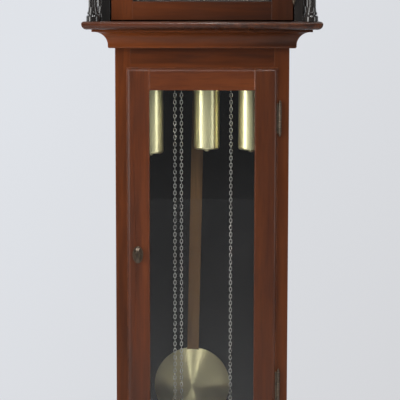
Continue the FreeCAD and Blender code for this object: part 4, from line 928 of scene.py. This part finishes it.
def build_dial_ornament():
    """Corner spandrels, and a beaded boss in the arch."""
    y = dial_low[1]
    points, faces = [], []
    for way_x in (-1, 1):
        for way_z in (-1, 1):
            spandrel(points, faces, way_x, way_z, y)
    mesh_piece("dial_spandrels", points, faces, gilt, "case", smooth=False)
    boss_z = dial_z + (dial_high[0] - dial_low[0]) / 2 + BOSS_HEIGHT
    points, faces = [], []
    dome(points, faces, (dial_x, y, boss_z), BOSS_RADIUS, BOSS_RISE)
    mesh_piece("arch_boss", points, faces, silvered, "case")
    points, faces = [], []
    for bead in range(BEAD_COUNT):
        turn = TURN * bead / BEAD_COUNT
        place = (dial_x + BEAD_CIRCLE * math.cos(turn), y, boss_z + BEAD_CIRCLE * math.sin(turn))
        dome(points, faces, place, BEAD_RADIUS, BEAD_RISE)
    mesh_piece("arch_boss_beads", points, faces, gilt, "case")


def build_petals():
    """Ring of petals on each rosette of the pediment."""
    low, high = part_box("pediment_rosettes")
    radius = (high[2] - low[2]) / 2
    circle = radius * PETAL_CIRCLE_SHARE
    y = high[1] - (high[1] - low[1]) * PETAL_DEPTH_SHARE
    points, faces = [], []
    for centre_x in (low[0] + radius, high[0] - radius):
        for petal in range(PETAL_COUNT):
            turn = TURN * petal / PETAL_COUNT
            place = (centre_x + circle * math.cos(turn), y,
                     (low[2] + high[2]) / 2 + circle * math.sin(turn))
            dome(points, faces, place, PETAL_RADIUS, PETAL_RISE)
    mesh_piece("rosette_petals", points, faces, brass, "case")


def build_pins():
    """Pin heads of the escutcheon."""
    low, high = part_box("trunk_door_escutcheon")
    middle_x = (low[0] + high[0]) / 2
    points, faces = [], []
    for z in (low[2] + PIN_INSET, high[2] - PIN_INSET):
        dome(points, faces, (middle_x, low[1], z), PIN_RADIUS, PIN_RISE)
    mesh_piece("escutcheon_pins", points, faces, bronze, "trunk_door")


build_dial_ornament()
build_petals()
build_pins()


# Room, lamps and camera

FOCAL_PIXELS = 1659.4
FRAME_PIXELS = 400.0
SENSOR = 36.0
CAMERA_DISTANCE = 3.462
EYE_HEIGHT = 1.4107
CAMERA_SIDE = 0.0101
PITCH_DEGREES = 7.097
YAW_DEGREES = -0.2457
ROLL_DEGREES = 0.064


def build_camera():
    """Camera level with the foot of the dial, looking a little down at the trunk door."""
    data = bpy.data.cameras.new("camera")
    data.lens = FOCAL_PIXELS / FRAME_PIXELS * SENSOR
    data.sensor_width = SENSOR
    camera = bpy.data.objects.new("camera", data)
    bpy.context.scene.collection.objects.link(camera)
    camera.location = (CAMERA_SIDE, trunk_face_y - CAMERA_DISTANCE, EYE_HEIGHT)
    pitch = math.radians(90 - PITCH_DEGREES)
    camera.rotation_euler = (pitch, math.radians(-ROLL_DEGREES), math.radians(-YAW_DEGREES))
    bpy.context.scene.camera = camera


WALL_LEFT = (0.745, 0.768, 0.81)
# The second colours of the wall and floor are the darker ends of a painted falloff of light.
WALL_PAINTED_SHADE = (0.64, 0.645, 0.665)
WALL_Y = 0.55
FLOOR_NEAR = (0.66, 0.66, 0.66)
FLOOR_PAINTED_SHADE = (0.62, 0.62, 0.62)
FLOOR_EVENNESS = 0.5
STAGE_SIZE = 16.0
STAGE_DROP = 0.5 * MM
PAINTED_FALLOFF_ACROSS = 0.5
PAINTED_FALLOFF_UP = -0.4
PAINTED_FALLOFF_START = 0.7


def backdrop_material(name, colour, painted_shade_colour, is_wall):
    """Matt pale wall or floor that shows its tone unlit for the camera, with a painted falloff of light
    across it; the wall is open from behind.
    """
    material, tree, shader, place = start_material(name)
    # Painted falloff of light: paler to the left and up, darker to the right and down.
    split = split_axes(tree, place)
    across = maths(tree, "MULTIPLY", (split, "X"), PAINTED_FALLOFF_ACROSS)
    across = maths(tree, "ADD", across, maths(tree, "MULTIPLY", (split, "Z"), PAINTED_FALLOFF_UP))
    across = maths(tree, "ADD", across, PAINTED_FALLOFF_START, clamp=True)
    tone = blend_colour(tree, across, colour, painted_shade_colour)
    give(tree, shader, Base_Color=tone, Roughness=0.9, Specular_IOR_Level=0.1)
    glow = shader_node(tree, "Emission", Color=tone)
    paths = tree.nodes.new("ShaderNodeLightPath")
    if is_wall:
        even = maths(tree, "MAXIMUM", (paths, "Is Camera Ray"), (paths, "Is Transmission Ray"))
    else:
        even = maths(tree, "MULTIPLY", (paths, "Is Camera Ray"), FLOOR_EVENNESS)
    surface = mix_shaders(tree, even, (shader, 0), (glow, 0))
    if is_wall:
        geometry = tree.nodes.new("ShaderNodeNewGeometry")
        clear = tree.nodes.new("ShaderNodeBsdfTransparent")
        surface = mix_shaders(tree, (geometry, "Backfacing"), surface, (clear, 0))
    give(tree, tree.nodes["Material Output"], Surface=surface)
    return material


def stage_plane(name, corners, place, material):
    """Flat backdrop or floor."""
    mesh = bpy.data.meshes.new(name)
    mesh.from_pydata(corners, [], [(0, 1, 2, 3)])
    mesh.materials.append(material)
    piece = bpy.data.objects.new(name, mesh)
    piece.location = place
    bpy.context.scene.collection.objects.link(piece)


LAMPS = {
    "key": ((-2.9, -1.9, 1.7), 1.2, 2.6, 70, (1.0, 0.985, 0.96)),
    "fill": ((2.9, -1.9, 1.4), 1.0, 2.2, 27, (0.97, 0.99, 1.0)),
    "top_left": ((-0.43, -1.98, 3.15), 0.10, 1.1, 20, (1, 1, 1)),
    "top_right": ((0.76, -1.98, 3.1), 0.12, 1.1, 20, (1, 1, 1)),
}
LIT_PLACE = (0, 0, 0.9)


def lamp(name, place, width, height, power, colour):
    """Soft rectangular lamp turned towards the trunk."""
    data = bpy.data.lights.new(name, "AREA")
    data.shape = "RECTANGLE"
    data.size = width
    data.size_y = height
    data.energy = power
    data.color = colour
    made = bpy.data.objects.new(name, data)
    made.location = place
    made.rotation_mode = "QUATERNION"
    made.rotation_quaternion = (Vector(LIT_PLACE) - Vector(place)).to_track_quat("-Z", "Y")
    bpy.context.scene.collection.objects.link(made)


WORLD_STRENGTH = 0.92
WORLD_COLOUR = (0.95, 0.97, 1.0, 1)
LEVEL_BY_SIDE = [(0.0, 1.0), (1.0, 0.3)]
LEVEL_BY_FRONT = [(0.35, 1.0), (0.9, 0.7)]
LEVEL_BY_HEIGHT = [(0.43, 0.62), (0.45, 0.42), (0.495, 0.42), (0.9, 1.0)]


def build_world(seen_colour):
    """Room light by direction: bright from the left and above, dim behind the camera."""
    world = bpy.data.worlds.new("room")
    world.use_nodes = True
    bpy.context.scene.world = world
    tree = world.node_tree
    place = tree.nodes.new("ShaderNodeTexCoord")
    split = split_axes(tree, (place, "Generated"))
    shifted = maths(tree, "MULTIPLY", (split, "X"), 0.5)
    shifted = maths(tree, "ADD", shifted, 0.5, clamp=True)
    left = ramp(tree, shifted, LEVEL_BY_SIDE)
    front = maths(tree, "MULTIPLY", (split, "Y"), -1.0)
    front = ramp(tree, front, LEVEL_BY_FRONT, linear=False)
    height = maths(tree, "MULTIPLY", (split, "Z"), 0.5)
    above = ramp(tree, maths(tree, "ADD", height, 0.5), LEVEL_BY_HEIGHT)
    total = maths(tree, "MULTIPLY", left, front)
    total = maths(tree, "MULTIPLY", total, above)
    total = maths(tree, "MULTIPLY", total, WORLD_STRENGTH)
    light = give(tree, tree.nodes["Background"], Color=WORLD_COLOUR, Strength=total)
    seen = shader_node(tree, "Background", Color=(*seen_colour, 1))
    paths = tree.nodes.new("ShaderNodeLightPath")
    surface = mix_shaders(tree, (paths, "Is Camera Ray"), (light, 0), (seen, 0))
    give(tree, tree.nodes["World Output"], Surface=surface)


def build_room():
    """Pale wall and floor, a soft key from the left, a weak fill and two narrow lamps above."""
    half = STAGE_SIZE / 2
    wall = backdrop_material("wall_matt", WALL_LEFT, WALL_PAINTED_SHADE, True)
    floor = backdrop_material("floor_matt", FLOOR_NEAR, FLOOR_PAINTED_SHADE, False)
    upright = [(-half, 0, 0), (half, 0, 0), (half, 0, STAGE_SIZE), (-half, 0, STAGE_SIZE)]
    level = [(-half, -half, 0), (half, -half, 0), (half, half, 0), (-half, half, 0)]
    stage_plane("wall", upright, (0, WALL_Y, -STAGE_DROP), wall)
    stage_plane("floor", level, (0, 0, -STAGE_DROP), floor)
    build_world(WALL_LEFT)
    for name, facts in LAMPS.items():
        lamp(name, *facts)


build_camera()
build_room()
bpy.context.scene.view_settings.view_transform = "Standard"
